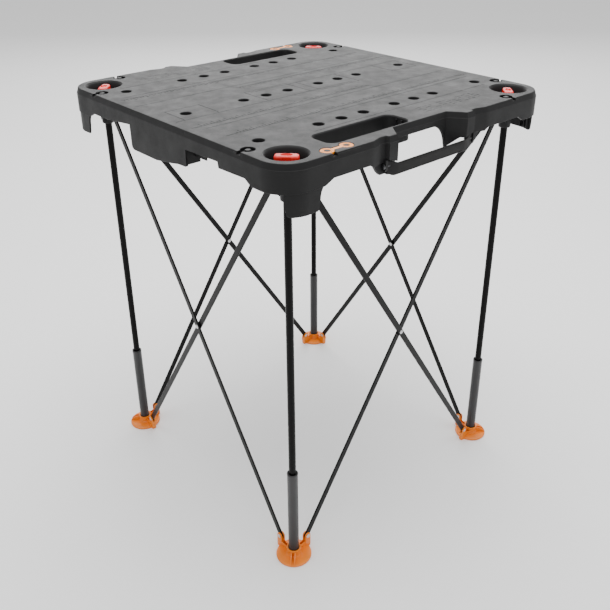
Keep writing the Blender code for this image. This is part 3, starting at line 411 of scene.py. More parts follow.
def moulded_plastic(name, colour, roughness, grain=1400.0, relief=0.20, specular=0.5, scuff=0.31):
    """Spark-eroded moulded plastic: fine grain, cloudy tone, slight sink and light scuffs."""
    s = Shading(name)
    cloud = s.spread(s.noise(11.0, 4.0), 0.0, 1.0)
    tone = s.blend(cloud, shade(colour, 0.86), shade(colour, 1.14))
    marks = s.scuffs(scuff)
    tone = s.blend(s.spread(marks, 0.0, 0.35, 0.0, 1.0), tone, shade(colour, 1.9))
    s.links.new(tone, s.shader.inputs["Base Color"])
    patches = s.spread(s.noise(37.0, 5.0, 0.65), roughness - 0.07, roughness + 0.07)
    s.links.new(s.add(patches, s.spread(marks, 0.0, 0.10, 0.0, 1.0)), s.shader.inputs["Roughness"])
    fine = s.bump(s.noise(grain, 2.0, 0.5), relief, 0.0004)
    sink = s.bump(s.noise(26.0, 2.0, 0.5), 0.10, 0.0012, fine)
    s.links.new(sink, s.shader.inputs["Normal"])
    s.shader.inputs["Specular IOR Level"].default_value = specular
    return s.material


def enamel(name, colour, roughness, specular=0.16, coat=0.03):
    """Baked satin enamel on drawn tube or strip: orange peel, rub marks along it and thin worn spots."""
    s = Shading(name)
    cloud = s.spread(s.noise(6.0, 3.0), 0.0, 1.0)
    tone = s.blend(cloud, shade(colour, 0.82), shade(colour, 1.2))
    rub = s.spread(s.noise(12.0, 5.0, 0.7, s.stretched((22.0, 22.0, 1.2))), 0.0, 1.0, 0.60, 0.74)
    tone = s.blend(s.spread(rub, 0.0, 0.45, 0.0, 1.0), tone, shade(colour, 2.1))
    s.links.new(tone, s.shader.inputs["Base Color"])
    patches = s.spread(s.noise(48.0, 4.0, 0.6), roughness - 0.06, roughness + 0.08)
    s.links.new(s.add(patches, s.spread(rub, 0.0, 0.14, 0.0, 1.0)), s.shader.inputs["Roughness"])
    peel = s.bump(s.noise(520.0, 1.0, 0.4), 0.12, 0.0003)
    s.links.new(peel, s.shader.inputs["Normal"])
    s.shader.inputs["Specular IOR Level"].default_value = specular
    s.shader.inputs["Coat Weight"].default_value = coat
    s.shader.inputs["Coat Roughness"].default_value = 0.18
    return s.material


def plated_steel(name, colour, roughness):
    """Zinc-plated steel: turned marks, spangle and dull spots."""
    s = Shading(name)
    spangle = s.spread(s.noise(210.0, 4.0, 0.6), 0.0, 1.0)
    s.links.new(s.blend(spangle, shade(colour, 0.78), shade(colour, 1.1)), s.shader.inputs["Base Color"])
    dull = s.spread(s.noise(90.0, 5.0, 0.7), roughness - 0.08, roughness + 0.14)
    s.links.new(dull, s.shader.inputs["Roughness"])
    s.links.new(s.bump(s.noise(800.0, 2.0, 0.5), 0.15, 0.0002), s.shader.inputs["Normal"])
    s.shader.inputs["Metallic"].default_value = 1.0
    return s.material


# Each finish: the record's slot that it fills, and its material
FINISHES = {
    "top": ("top_plastic", moulded_plastic("top_moulding", (0.0095, 0.0095, 0.0098), 0.50, specular=0.22)),
    "bail": ("bail_plastic", moulded_plastic("bail_moulding", (0.0060, 0.0056, 0.0056), 0.44, specular=0.20)),
    "knob": ("knob_plastic",
             moulded_plastic("red_knob", (0.75, 0.012, 0.008), 0.33, 1800.0, 0.08, scuff=0.26)),
    "clip": ("clip_plastic",
             moulded_plastic("orange_clip", (0.88, 0.27, 0.01), 0.40, 1800.0, 0.08, scuff=0.26)),
    "foot": ("foot_plastic",
             moulded_plastic("orange_foot", (0.80, 0.195, 0.0), 0.36, 1500.0, 0.10, scuff=0.30)),
    "head": ("head_plastic", moulded_plastic("black_head", (0.0080, 0.0080, 0.0085), 0.45, specular=0.25)),
    "bush": ("head_plastic", moulded_plastic("bush_nylon", (0.006, 0.006, 0.006), 0.50)),
    "tube": ("tube_enamel", enamel("tube_enamel", (0.0030, 0.0027, 0.0027), 0.26, 0.10, 0.0)),
    "sleeve": ("sleeve_enamel", enamel("sleeve_enamel", (0.026, 0.026, 0.027), 0.36, 0.30, 0.05)),
    "bar": ("bar_enamel", enamel("bar_enamel", (0.0038, 0.0036, 0.0036), 0.30, 0.14, 0.0)),
    "rivet": ("rivet_steel", plated_steel("rivet_zinc", (0.62, 0.62, 0.63), 0.30)),
    "spindle": ("spindle_steel", plated_steel("spindle_zinc", (0.42, 0.42, 0.43), 0.38)),
    "pin": ("rivet_steel", plated_steel("blackened_pin", (0.10, 0.10, 0.105), 0.34)),
}


# ---------------------------------------------------------------- outline of the top

def rounding(start, end, steps):
    """Quarter of an ellipse between two (along, depth) points, upright at the start, without its ends."""
    points = []
    for i in range(1, steps):
        angle = QUARTER * i / steps
        points.append((start[0] + (end[0] - start[0]) * (1 - math.cos(angle)),
                       start[1] + (end[1] - start[1]) * math.sin(angle)))
    return points


def plain_stations(edge, wall=WALL):
    """Stations of a straight stretch of skirt from (along, depth) points."""
    return [(along, 0.0, along, wall, depth) for along, depth in edge]


def trough_side():
    """Stations of a side with the deep middle section: (along, inset, inner along, inner inset, depth)."""
    wall_foot = (-0.0905, 0.0655)
    floor = (-0.0820, TROUGH_DEPTH)
    left = [(-0.0915, ARCH_DEPTH), wall_foot, *rounding(wall_foot, floor, 5), floor]
    dip = [(-0.030, TROUGH_DEPTH), (-0.012, TROUGH_DEPTH), (0.020, 0.0672), (0.030, 0.0660),
           (0.056, LATCH_DEPTH + 0.0008), (0.0765, LATCH_DEPTH), (0.0795, LATCH_DEPTH - 0.0018)]
    right = [(0.0805, 0.031), (0.1200, 0.0295), (0.1670, ARCH_DEPTH), (0.1690, SKIRT_DEPTH + 0.0015)]
    start = [SKIRT_START, (-0.173, SKIRT_DEPTH)]
    return plain_stations(start + left + dip + right + SKIRT_END)


def block_stations():
    """Stations of the hinge block before the recess, from the skirt to the recess's mouth."""
    lug_wall = BLOCK_WALL - 0.001
    return [(-BLOCK_START, 0.0, -BLOCK_START, WALL, SKIRT_DEPTH),
            (-CHANNEL_RAMP, 0.0, -CHANNEL_RAMP, BLOCK_WALL, BLOCK_DEPTH),
            (-CHANNEL_OUTER, CHANNEL_INSET, -CHANNEL_OUTER, BLOCK_WALL, BLOCK_DEPTH),
            (-CHANNEL_INNER, CHANNEL_INSET, -CHANNEL_INNER, BLOCK_WALL, BLOCK_DEPTH),
            (-CHANNEL_LIP, 0.0, -CHANNEL_LIP, lug_wall, BLOCK_LUG_DEPTH),
            (-RECESS_MOUTH, 0.0, -RECESS_MOUTH + 0.0008, BLOCK_WALL, BLOCK_CORNER_DEPTH)]


def facet_stations():
    """Stations of the slanted wall from the recess's mouth to its back."""
    share = 0.30
    along = -RECESS_MOUTH + (RECESS_MOUTH - RECESS_BACK) * share
    inset = RECESS_INSET * share
    return [(along, inset, along + 0.0006, inset + 0.0054, BLOCK_CORNER_DEPTH),
            (-RECESS_BACK, RECESS_INSET, -RECESS_BACK - 0.0016, RECESS_INSET + WALL, RECESS_LEG_DEPTH)]


def mirrored(stations):
    """The same stations on the other half of the side, in the order that they come there."""
    return [(-along, inset, -inner_along, inner_inset, depth)
            for along, inset, inner_along, inner_inset, depth in reversed(stations)]


def handle_side():
    """Stations of a side with the bail recess between two hinge blocks."""
    back_inner = RECESS_INSET + WALL
    left_foot = (-RECESS_BACK, RECESS_LEG_DEPTH)
    right_foot = (RECESS_BACK, RECESS_LEG_DEPTH)
    left_top = (ARCH_LEFT, RECESS_WALL_DEPTH)
    right_top = (ARCH_RIGHT, RECESS_WALL_DEPTH)
    arch = [*rounding(left_foot, left_top, 7), left_top, right_top,
            *reversed(rounding(right_foot, right_top, 9))]
    before = block_stations() + facet_stations()
    back = [(along, RECESS_INSET, along, back_inner, depth) for along, depth in arch]
    return plain_stations([SKIRT_START]) + before + back + mirrored(before) + plain_stations(SKIRT_END)


def corner_stations():
    """Stations round corner 1 and on to where the apron rises to the skirt."""
    stations = []
    inner = CORNER_RADIUS - WALL
    steps = 18
    for i in range(steps + 1):
        angle = math.pi + QUARTER * i / steps
        c, s = math.cos(angle), math.sin(angle)
        stations.append((-LEG + CORNER_RADIUS * c, -LEG + CORNER_RADIUS * s,
                         -LEG + inner * c, -LEG + inner * s, APRON_DEPTH))
    for along, depth in ((-0.2500, APRON_DEPTH), (-0.2380, APRON_DEPTH - 0.001)):
        stations.append((along, -HALF, along, -HALF + WALL, depth))
    return stations


def outline_stations():
    """World stations right round the top, counter-clockwise from corner 1: outer, inner, depth."""
    stations = []
    for corner in CORNERS:
        local = corner_stations()
        side = handle_side() if corner in HANDLE_SIDES else trough_side()
        local += [(along, -HALF + inset, inner_along, -HALF + inner_inset, depth)
                  for along, inset, inner_along, inner_inset, depth in side]
        place = Matrix.Rotation(turn(corner), 2)
        stations += [(place @ Vector((ox, oy)), place @ Vector((ix, iy)), depth)
                     for ox, oy, ix, iy, depth in local]
    return stations


def inset_ring(points, distance):
    """Move a counter-clockwise ring inwards by a distance, square to its edges."""
    result = []
    for i, point in enumerate(points):
        before = (point - points[i - 1]).normalized()
        after = (points[(i + 1) % len(points)] - point).normalized()
        normal = Vector((-before.y - after.y, before.x + after.x)).normalized()
        stretch = max(0.6, normal.dot(Vector((-after.y, after.x))))
        result.append(point + normal * distance / stretch)
    return result


# ---------------------------------------------------------------- top moulding

HALF_TURNS = (Matrix.Rotation(0.0, 4, "Z"), Matrix.Rotation(math.pi, 4, "Z"))


def draw_top_shell(bm):
    """Deck, lip band and skirt as one thin shell, open below, with eased edges."""
    stations = outline_stations()
    outer = [station[0] for station in stations]
    inner = [station[1] for station in stations]
    lows = [HEIGHT - station[2] for station in stations]
    eased = inset_ring(outer, EDGE_EASE)
    seam = HEIGHT - LIP_HEIGHT
    rings = [[(p.x, p.y, HEIGHT - DECK) for p in inner],
             [(p.x, p.y, z) for p, z in zip(inner, lows)],
             [(p.x, p.y, z) for p, z in zip(eased, lows)],
             [(p.x, p.y, z + EDGE_EASE) for p, z in zip(outer, lows)],
             [(p.x, p.y, seam - 0.0004) for p in outer],
             [(p.x, p.y, seam) for p in inset_ring(outer, 0.0005)],
             [(p.x, p.y, HEIGHT - 0.0014) for p in inset_ring(outer, LIP_INSET - 0.0006)],
             [(p.x, p.y, HEIGHT - 0.0004) for p in inset_ring(outer, LIP_INSET)],
             [(p.x, p.y, HEIGHT) for p in inset_ring(outer, LIP_INSET + 0.0009)]]
    add_loft(bm, rings)


def flange_outline():
    """(outer x, y, inner x, y, depth) of the flange that hangs from corner 1's apron."""
    points = []
    outer = CORNER_RADIUS - FLANGE_INSET
    inner = outer - FLANGE_WALL
    arc = [(44, 0.056), (45.5, 0.0700), (48, 0.0780), (52, FLANGE_DEPTH - 0.0008)]
    arc += [(degrees, FLANGE_DEPTH) for degrees in (58, 66, 74, 82, 89)]
    for degrees, depth in arc:
        angle = math.pi + math.radians(degrees)
        c, s = math.cos(angle), math.sin(angle)
        points.append((-LEG + outer * c, -LEG + outer * s, -LEG + inner * c, -LEG + inner * s, depth))
    foot = (-0.2520, FLANGE_DEPTH - 0.0006)
    rise = (-0.2475, 0.0640)
    level = (-0.2205, SKIRT_DEPTH - 0.0023)
    for along, depth in (foot, (-0.2500, 0.0770), rise, *rounding(rise, level, 8)):
        points.append((along, -HALF + FLANGE_INSET, along, -HALF + FLANGE_INSET + FLANGE_WALL, depth))
    return points


def draw_flanges(bm):
    """Guard flanges that hang below each corner, set back a little from the apron."""
    high = HEIGHT - SKIRT_DEPTH + 0.006
    for corner in CORNERS:
        points = flange_outline()
        outer = [turned_point(corner, ox, oy, 0) for ox, oy, _, _, _ in points]
        inner = [turned_point(corner, ix, iy, 0) for _, _, ix, iy, _ in points]
        depths = [HEIGHT - depth for _, _, _, _, depth in points]
        section = []
        for o, i, low in zip(outer, inner, depths):
            eased = o.lerp(i, 0.2)
            section.append([(o.x, o.y, high), (i.x, i.y, high), (i.x, i.y, low), (eased.x, eased.y, low),
                            (o.x, o.y, low + EDGE_EASE)])
        add_loft(bm, section)


def draw_ribs_along(bm):
    """Stiffening ribs under the deck, parallel to X."""
    for rows, depth in ((RIBS_ALONG, 0.017), (RIBS_MIDDLE, 0.014)):
        for y in rows:
            add_box(bm, (-HALF + RIB_END, y - RIB_HALF, HEIGHT - depth),
                    (HALF - RIB_END, y + RIB_HALF, HEIGHT - RIB_TOP))


def draw_ribs_across(bm):
    """Stiffening ribs under the deck, parallel to Y, clear of the bail recesses."""
    for x in RIBS_ACROSS:
        reach = RIB_REACH if abs(x) < 0.20 else HALF - 0.0031
        add_box(bm, (x - RIB_HALF, -reach, HEIGHT - 0.0161), (x + RIB_HALF, reach, HEIGHT - 0.0026))


def draw_hole_sleeves(bm):
    """Short sleeves under the deck round each dog hole."""
    profile = ((HOLE_RADIUS + 0.0019, HEIGHT - 0.0190), (HOLE_RADIUS + 0.0024, HEIGHT - RIB_TOP))
    for spot in hole_places():
        add_turned(bm, profile, 28, Matrix.Translation((*spot, 0)))


def draw_cups(bm):
    """Well cups and hand-slot walls."""
    cup = ((WELL_FLOOR_RADIUS + 0.0022, HEIGHT - WELL_DEPTH - WELL_FLOOR),
           (WELL_FLOOR_RADIUS + 0.0030, HEIGHT - WELL_DEPTH - WELL_FLOOR + 0.0008),
           (WELL_RADIUS + 0.0030, HEIGHT - DECK / 2))
    for corner in CORNERS:
        add_turned(bm, cup, 48, well_place(corner))
    for sign in SIGNS:
        centre = (SLOT_CENTRE[0] * sign, SLOT_CENTRE[1] * sign)
        walls = rounded_box(SLOT_HALF[0] + SLOT_WALL, SLOT_HALF[1] + SLOT_WALL,
                            SLOT_RADIUS + SLOT_WALL, 8, centre)
        add_prism(bm, walls, HEIGHT - SLOT_WALL_DEPTH, HEIGHT - DECK / 2)


def draw_notch_pads(bm):
    """Thicker deck round the connector notches."""
    for side in CORNERS:
        for sign in (-1, 1):
            reach = CLIP_SPACING if side in HANDLE_SIDES and sign < 0 else 0.0
            centre = (sign * NOTCH_ALONG + reach / 2, -HALF + NOTCH_PAD_INSET)
            half_x = NOTCH_RADIUS + NOTCH_PAD_RIM + reach / 2
            outline = rounded_box(half_x, NOTCH_PAD_HALF, 0.004, 4, centre)
            add_prism(bm, outline, HEIGHT - NOTCH_PAD_DEPTH, HEIGHT - DECK / 2, spin(side))


def draw_bail_ears(bm):
    """Fixed ears under the hinge blocks that carry the bail pins, with a web behind."""
    low, high = HEIGHT - 0.0610, HEIGHT - BLOCK_DEPTH + 0.003
    plate = [(EAR_INNER, low), (0.1165, low), (0.1225, low + 0.006), (0.1330, high), (EAR_INNER, high)]
    for side in HANDLE_SIDES:
        for sign in SIGNS:
            rings = []
            for y in (-HALF + 0.0085, -HALF + 0.0145):
                rings.append([turned_point(side, sign * x, y, z) for x, z in plate])
            add_loft(bm, rings)


def draw_bail_cheeks(bm):
    """Rounded cheek that stands in front of each ear's web and takes the bail pin."""
    outline = [(0.0038 * y, 0.0090 * z) for y, z in arc(1.0, math.pi, math.pi, 12)]
    outline += [(0.0100, 0.0105), (-0.0038, 0.0105)]
    for side in HANDLE_SIDES:
        for sign in SIGNS:
            rings = []
            for x in (EAR_INNER, EAR_INNER + 0.0052):
                rings.append([turned_point(side, sign * x, -HALF + PIN_INSET + y, HEIGHT - PIN_DEPTH + z)
                              for y, z in outline])
            add_loft(bm, rings)


def draw_inner_webs(bm):
    """Walls and stops inside the skirt that show through its openings."""
    trough_webs = ((0.0790, 0.0815, 0.0020, 0.0270, 0.0560), (0.0821, 0.1140, 0.0160, 0.0185, 0.0440),
                   (-0.0905, -0.0880, 0.0020, 0.0240, 0.0560))
    handle_webs = [(x, x + 0.0025, 0.0080, 0.0300, 0.0400) for x in (-0.1250, 0.1225)]
    for sides, webs in ((TROUGH_SIDES, trough_webs), (HANDLE_SIDES, handle_webs)):
        for side in sides:
            for left, right, front, back, depth in webs:
                add_box(bm, (left, -HALF + front, HEIGHT - depth), (right, -HALF + back, HEIGHT - 0.0025),
                        spin(side))


def draw_flange_ribs(bm):
    """Small upright ribs inside each corner's guard flange."""
    for corner in CORNERS:
        for degrees in (52, 66, 82):
            angle = math.pi + math.radians(degrees)
            place = spin(corner) @ Matrix.Translation((-LEG, -LEG, 0)) @ Matrix.Rotation(angle, 4, "Z")
            reach = CORNER_RADIUS - FLANGE_INSET - 0.0022
            outline = [(reach - 0.0060, -0.0010), (reach, -0.0010), (reach, 0.0010), (reach - 0.0060, 0.0010)]
            add_prism(bm, outline, HEIGHT - FLANGE_DEPTH + 0.0030, HEIGHT - 0.0440, place)


def draw_hole_cuts(bm):
    """Dog holes with a small lead-in."""
    profile = ((HOLE_RADIUS, HEIGHT - 0.040), (HOLE_RADIUS, HEIGHT - 0.0009),
               (HOLE_RADIUS + 0.0039, HEIGHT + 0.003))
    for spot in hole_places():
        add_turned(bm, profile, 28, Matrix.Translation((*spot, 0)))


def draw_slot_cuts(bm):
    """Hand slots with rounded lips."""
    for sign in SIGNS:
        centre = (SLOT_CENTRE[0] * sign, SLOT_CENTRE[1] * sign)
        rings = []
        for grow, depth in ((-0.0012, 0.0453), (0.0, 0.0022), (0.0008, 0.0009), (0.0058, -0.0023)):
            outline = rounded_box(SLOT_HALF[0] + grow, SLOT_HALF[1] + grow, SLOT_RADIUS + grow, 8, centre)
            rings.append([(x, y, HEIGHT - depth) for x, y in outline])
        add_loft(bm, rings)


def draw_well_cuts(bm):
    """Knob wells with a chamfered mouth and a stepped floor."""
    floor = HEIGHT - WELL_DEPTH
    profile = ((WELL_FLOOR_RADIUS - 0.0070, floor - 0.0012), (WELL_FLOOR_RADIUS - 0.0070, floor),
               (WELL_FLOOR_RADIUS - 0.0010, floor), (WELL_FLOOR_RADIUS, floor + 0.001),
               (WELL_RADIUS - 0.0003, HEIGHT - 0.0046), (WELL_RADIUS + 0.0022, HEIGHT - 0.0010),
               (WELL_RADIUS + 0.0082, HEIGHT + 0.0024))
    for corner in CORNERS:
        add_turned(bm, profile, 48, well_place(corner))


def draw_spindle_bores(bm):
    """Bores through the well floors for the knob spindles."""
    for corner in CORNERS:
        add_turned(bm, ((WELL_BORE, HEIGHT - 0.040), (WELL_BORE, HEIGHT - 0.015)), 24, well_place(corner))


def notch_places():
    """(x, y) of the eight connector notches beside the corners."""
    return [tuple(turned_point(side, along, -HALF + NOTCH_INSET, 0))[:2]
            for side in CORNERS for along in (-NOTCH_ALONG, NOTCH_ALONG)]


def clip_seats():
    """(x, y) of the two pins under each stored clip, on sides 1 and 3."""
    inset = HALF - NOTCH_INSET
    return [((-sign * NOTCH_ALONG, -sign * inset), (-sign * (NOTCH_ALONG - CLIP_SPACING), -sign * inset))
            for sign in SIGNS]


def draw_notch_cuts(bm):
    """Round pockets of the connector notches and of the clips' second pins."""
    for spot in notch_places() + [second for _, second in clip_seats()]:
        rings = ((NOTCH_RADIUS, HEIGHT - NOTCH_DEPTH), (NOTCH_RADIUS, HEIGHT - 0.0007),
                 (NOTCH_RADIUS + 0.0037, HEIGHT + 0.003))
        add_turned(bm, rings, 28, Matrix.Translation((*spot, 0)))


def draw_neck_cuts(bm):
    """Channels from each notch out through the lip, and between the two pins under each clip."""
    floor, above, half = HEIGHT - NOTCH_DEPTH + 0.0002, HEIGHT + 0.009, NOTCH_NECK / 2
    for side in CORNERS:
        for along in (-NOTCH_ALONG, NOTCH_ALONG):
            add_box(bm, (along - half, -HALF - 0.010, floor), (along + half, -HALF + NOTCH_INSET, above),
                    spin(side))
    for first, second in clip_seats():
        low, high = sorted((first[0], second[0]))
        add_box(bm, (low, first[1] - half, floor), (high, first[1] + half, above))


def draw_notch_pins(bm):
    """Pins that stand in the notches for a clip's eyes."""
    for spot in notch_places() + [second for _, second in clip_seats()]:
        profile = ((NOTCH_PIN, HEIGHT - NOTCH_DEPTH - 0.002), (NOTCH_PIN, HEIGHT - 0.0010),
                   (NOTCH_PIN - 0.0006, HEIGHT - 0.0004))
        add_turned(bm, profile, 20, Matrix.Translation((*spot, 0)))


def draw_slot_aprons(bm):
    """Deeper middle of each hand slot's inner wall, short enough to clear the legs' heads."""
    inner = SLOT_CENTRE[1] + SLOT_HALF[1]
    for place in HALF_TURNS:
        add_box(bm, (-0.1750, inner + 0.0004, HEIGHT - 0.0400),
                (-0.0300, inner + 0.0026, HEIGHT - 0.0290), place)


def draw_slot_ribs(bm):
    """Two short ribs in the end wall of each hand slot."""
    x = SLOT_CENTRE[0] + SLOT_HALF[0]
    for place in HALF_TURNS:
        for y in (SLOT_CENTRE[1] - 0.006, SLOT_CENTRE[1] + 0.006):
            add_box(bm, (x - 0.0030, y - 0.0013, HEIGHT - 0.034),
                    (x + 0.0015, y + 0.0013, HEIGHT - 0.0045), place)


def draw_pin_bores(bm):
    """Cross bores for the bail pins."""
    for side in HANDLE_SIDES:
        for sign in SIGNS:
            spot = turned_point(side, sign * PIN_MIDDLE, -HALF + PIN_INSET, HEIGHT - PIN_DEPTH)
            add_turned(bm, ((PIN_BORE, -0.0175), (PIN_BORE, 0.0175)), 20,
                       Matrix.Translation(spot) @ Matrix.Rotation(QUARTER, 4, "Y"))


# ---------------------------------------------------------------- engraving

LINE = 0.0009
ENGRAVED = 0.0005
RULE_START = -0.303
RULE_END = 0.285
OUTER_RULE = (0.0930, 0.1457)
INNER_RULE = (0.0330, 0.0780)
RULE_STEP = 0.00635
RULE_MARGIN = 0.012
INNER_START = -0.098
TICKS = (0.0110, 0.0045, 0.0075, 0.0045)
TICK_GAP = 0.0010
OUTER_GUIDE = (-0.285, 0.100, OUTER_RULE[1] + 0.013)
EDGE_GUIDE = (-0.2625, 0.170, 0.2200)
FRAMES = (((-0.285, -0.030), (-0.216, 0.030)), ((-0.109, -0.031), (-0.010, 0.040)))
PANEL_CORNER = (0.042, -0.2660)
PANEL_STEP = (0.0175, 0.0080)


def add_line(bm, start, end, place):
    """One straight engraved line between two points of the deck, along X or along Y."""
    low = (min(start[0], end[0]) - LINE / 2, min(start[1], end[1]) - LINE / 2, HEIGHT - ENGRAVED)
    high = (max(start[0], end[0]) + LINE / 2, max(start[1], end[1]) + LINE / 2, HEIGHT + 0.001)
    add_box(bm, low, high, place)


def draw_ruler(bm, start, end, near, far, place):
    """A ruled strip: a line along each edge, and ticks in three lengths that hang from the far one."""
    add_line(bm, (start, far), (end, far), place)
    add_line(bm, (start, near), (end, near), place)
    base = far - LINE / 2 - TICK_GAP
    for i in range(1, int((end - start - RULE_MARGIN) / RULE_STEP)):
        x = start + i * RULE_STEP
        add_line(bm, (x, base - TICKS[i % 4]), (x, base), place)


def draw_engraving(bm):
    """Rulers and guide lines, the same under a half turn."""
    for place in HALF_TURNS:
        draw_ruler(bm, RULE_START, RULE_END, *OUTER_RULE, place)
        draw_ruler(bm, INNER_START, -RULE_START, *INNER_RULE, place)
        for start, end, y in (OUTER_GUIDE, EDGE_GUIDE):
            add_line(bm, (start, y), (end, y), place)


def draw_frames(bm):
    """Set-out frames round the end holes and beside the middle ones."""
    for place in HALF_TURNS:
        for low, high in FRAMES:
            for x in (low[0], high[0]):
                add_line(bm, (x, low[1]), (x, high[1]), place)
            inner_low, inner_high = low[0] + LINE + 0.0004, high[0] - LINE - 0.0004
            add_line(bm, (inner_low, high[1]), (inner_high, high[1]), place)


def draw_panels(bm):
    """Panels of plain hatching beside the hand slots, in dashes of three lengths."""
    for place in HALF_TURNS:
        for row in range(4):
            y = PANEL_CORNER[1] + row * PANEL_STEP[1]
            for column in range(9):
                if (row * 5 + column * 3) % 7 == 2:
                    continue
                x = PANEL_CORNER[0] + column * PANEL_STEP[0]
                add_line(bm, (x, y), (x + 0.0125 - 0.0035 * ((row + column) % 3), y), place)


def top_mesh():
    """The whole top moulding."""
    steps = [("UNION", draw_cups), ("DIFFERENCE", draw_slot_cuts), ("DIFFERENCE", draw_well_cuts),
             ("UNION", draw_flanges), ("UNION", draw_notch_pads), ("UNION", draw_ribs_along),
             ("UNION", draw_ribs_across), ("UNION", draw_hole_sleeves), ("UNION", draw_bail_ears),
             ("UNION", draw_bail_cheeks), ("UNION", draw_inner_webs), ("UNION", draw_slot_aprons),
             ("UNION", draw_flange_ribs), ("DIFFERENCE", draw_hole_cuts), ("DIFFERENCE", draw_spindle_bores),
             ("DIFFERENCE", draw_notch_cuts), ("DIFFERENCE", draw_neck_cuts), ("UNION", draw_notch_pins),
             ("UNION", draw_slot_ribs), ("DIFFERENCE", draw_pin_bores), ("DIFFERENCE", draw_engraving),
             ("DIFFERENCE", draw_frames), ("DIFFERENCE", draw_panels)]
    return carve("top", draw_top_shell, steps, 28)


# ---------------------------------------------------------------- pieces on the top

def bail_mesh():
    """U-shaped strap of side 1 with a taller lug at each end, drawn about its pin axis."""
    face, strap, lug_tail = -PIN_INSET + 0.0005, 0.0060, 0.0115
    low, high = PIN_DEPTH - 0.0660, PIN_DEPTH - 0.0465
    lug_low, lug_high = PIN_DEPTH - 0.0617, PIN_DEPTH - 0.0390
    face_half, lug_inner, lug_outer = 0.0830, 0.0985, 0.1052

    def section(x, front, back, bottom, top, ease=0.0010):
        return [(x, front + ease, bottom), (x, back - ease, bottom), (x, back, bottom + ease),
                (x, back, top - ease), (x, back - ease, top), (x, front + ease, top),
                (x, front, top - ease), (x, front, bottom + ease)]

    def bar(bm):
        stops = (-face_half, -0.0815, 0.0815, face_half)
        add_loft(bm, [section(x, face, face + strap, low, high) for x in stops])

    def ends(bm):
        stops = ((face_half - 0.001, 0.0, strap, low, high),
                 (0.0905, 0.0006, strap + 0.001, low, high + 0.0028),
                 (0.0955, 0.0014, lug_tail - 0.002, low + 0.0012, high + 0.0058),
                 (lug_inner, 0.0020, lug_tail, lug_low - 0.001, lug_high - 0.0012),
                 (lug_outer - 0.0006, 0.0029, lug_tail, lug_low, lug_high - 0.0004),
                 (lug_outer, 0.0034, lug_tail - 0.0005, lug_low + 0.0006, lug_high - 0.0010))
        for sign in (-1, 1):
            add_loft(bm, [section(sign * x, face + front, face + back, bottom, top)
                          for x, front, back, bottom, top in stops])

    def finger_ribs(bm):
        for i in range(19):
            x = -0.063 + i * 0.007
            add_box(bm, (x - 0.0011, face + strap - 0.0008, low + 0.0030),
                    (x + 0.0011, face + strap + 0.0002, high - 0.0030))

    def grip_line(bm):
        for z in (low + 0.0022, high - 0.0030):
            add_box(bm, (-0.0780, face - 0.001, z), (0.0780, face + 0.0005, z + 0.0008))

    bore = drawn(add_turned, ((PIN_BORE, -0.2), (PIN_BORE, 0.2)), 20, Matrix.Rotation(QUARTER, 4, "Y"))
    return carve("bail", bar, [("UNION", ends), ("DIFFERENCE", finger_ribs), ("DIFFERENCE", grip_line),
                               ("DIFFERENCE", bore)], 30)


def pin_mesh():
    """Bail pin with a domed head on the outer side of its ear, drawn pointing from the recess outwards."""
    profile = [(PIN_RADIUS, 0.0987), (PIN_RADIUS, 0.1113), (0.0040, 0.1116), (0.0041, 0.1124)]
    for i in range(1, 5):
        angle = QUARTER * i / 5
        profile.append((0.0041 * math.cos(angle), 0.1124 + 0.0016 * math.sin(angle)))
    return build_mesh("bail_pin", lambda bm: add_turned(bm, profile, 24, Matrix.Rotation(QUARTER, 4, "Y")))


def knob_mesh():
    """Bar knob with rounded ends, finger flutes and an oval dish, its long way across the diagonal."""
    low, high = -0.0170, -0.0026
    half_long, half_wide = 0.0190, 0.0090

    def outline(inset):
        points = []
        for i in range(64):
            angle = 2 * math.pi * i / 64
            c, s = math.cos(angle), math.sin(angle)
            x = math.copysign(abs(c) ** 0.42, c) * (half_long - inset)
            y = math.copysign(abs(s) ** 0.42, s) * (half_wide - inset)
            points.append((x, y))
        return points

    steps = ((0.0016, low), (0.0004, low + 0.0006), (0.0, low + 0.0016), (0.0003, high - 0.0034),
             (0.0008, high - 0.0018), (0.0018, high - 0.0006), (0.0032, high))
    skirt = ((0.0123, -0.0207), (0.0128, -0.0202), (0.0125, low + 0.003))
    bore = ((0.0036, -0.030), (0.0036, -0.0095))
    lock_dot = ((0.0019, high - 0.0060), (0.0019, high - 0.0026), (0.0013, high - 0.0020))

    def dish(bm):
        rings = []
        for depth, size in ((0.0034, 0.50), (0.0031, 0.72), (0.0022, 0.88), (0.0004, 1.0), (-0.003, 1.08)):
            rings.append([(x * 0.0092 * size, y * 0.0056 * size, high - depth) for x, y in circle(1.0, 32)])
        add_loft(bm, rings)

    def flutes(bm):
        for sign in (-1, 1):
            for i in range(5):
                x = -0.0104 + i * 0.0052
                add_turned(bm, ((0.0011, low + 0.0030), (0.0011, high - 0.0020)), 12,
                           Matrix.Translation((x, sign * (half_wide + 0.0003), 0)))

    return carve("knob", drawn(add_stack, outline, steps),
                 [("UNION", drawn(add_turned, skirt, 40)), ("DIFFERENCE", dish),
                  ("UNION", drawn(add_turned, lock_dot, 20)), ("DIFFERENCE", flutes),
                  ("DIFFERENCE", drawn(add_turned, bore, 20))], 34)


def spindle_mesh():
    """Knob spindle with the flat cam that holds the leg's head, drawn from the deck's level."""
    shaft = ((0.0042, -0.0296), (0.0048, -0.0290), (0.0048, -0.0225), (0.0033, -0.0210), (0.0033, -0.0100))
    steps = ((0.0006, -0.0300), (0.0, -0.0295), (0.0, -0.0263), (0.0005, -0.0258))

    def cam(inset):
        return rounded_box(0.0120 - inset, 0.0050 - inset, 0.0045 - inset, 6)

    return carve("spindle", drawn(add_turned, shaft, 28), [("UNION", drawn(add_stack, cam, steps))])


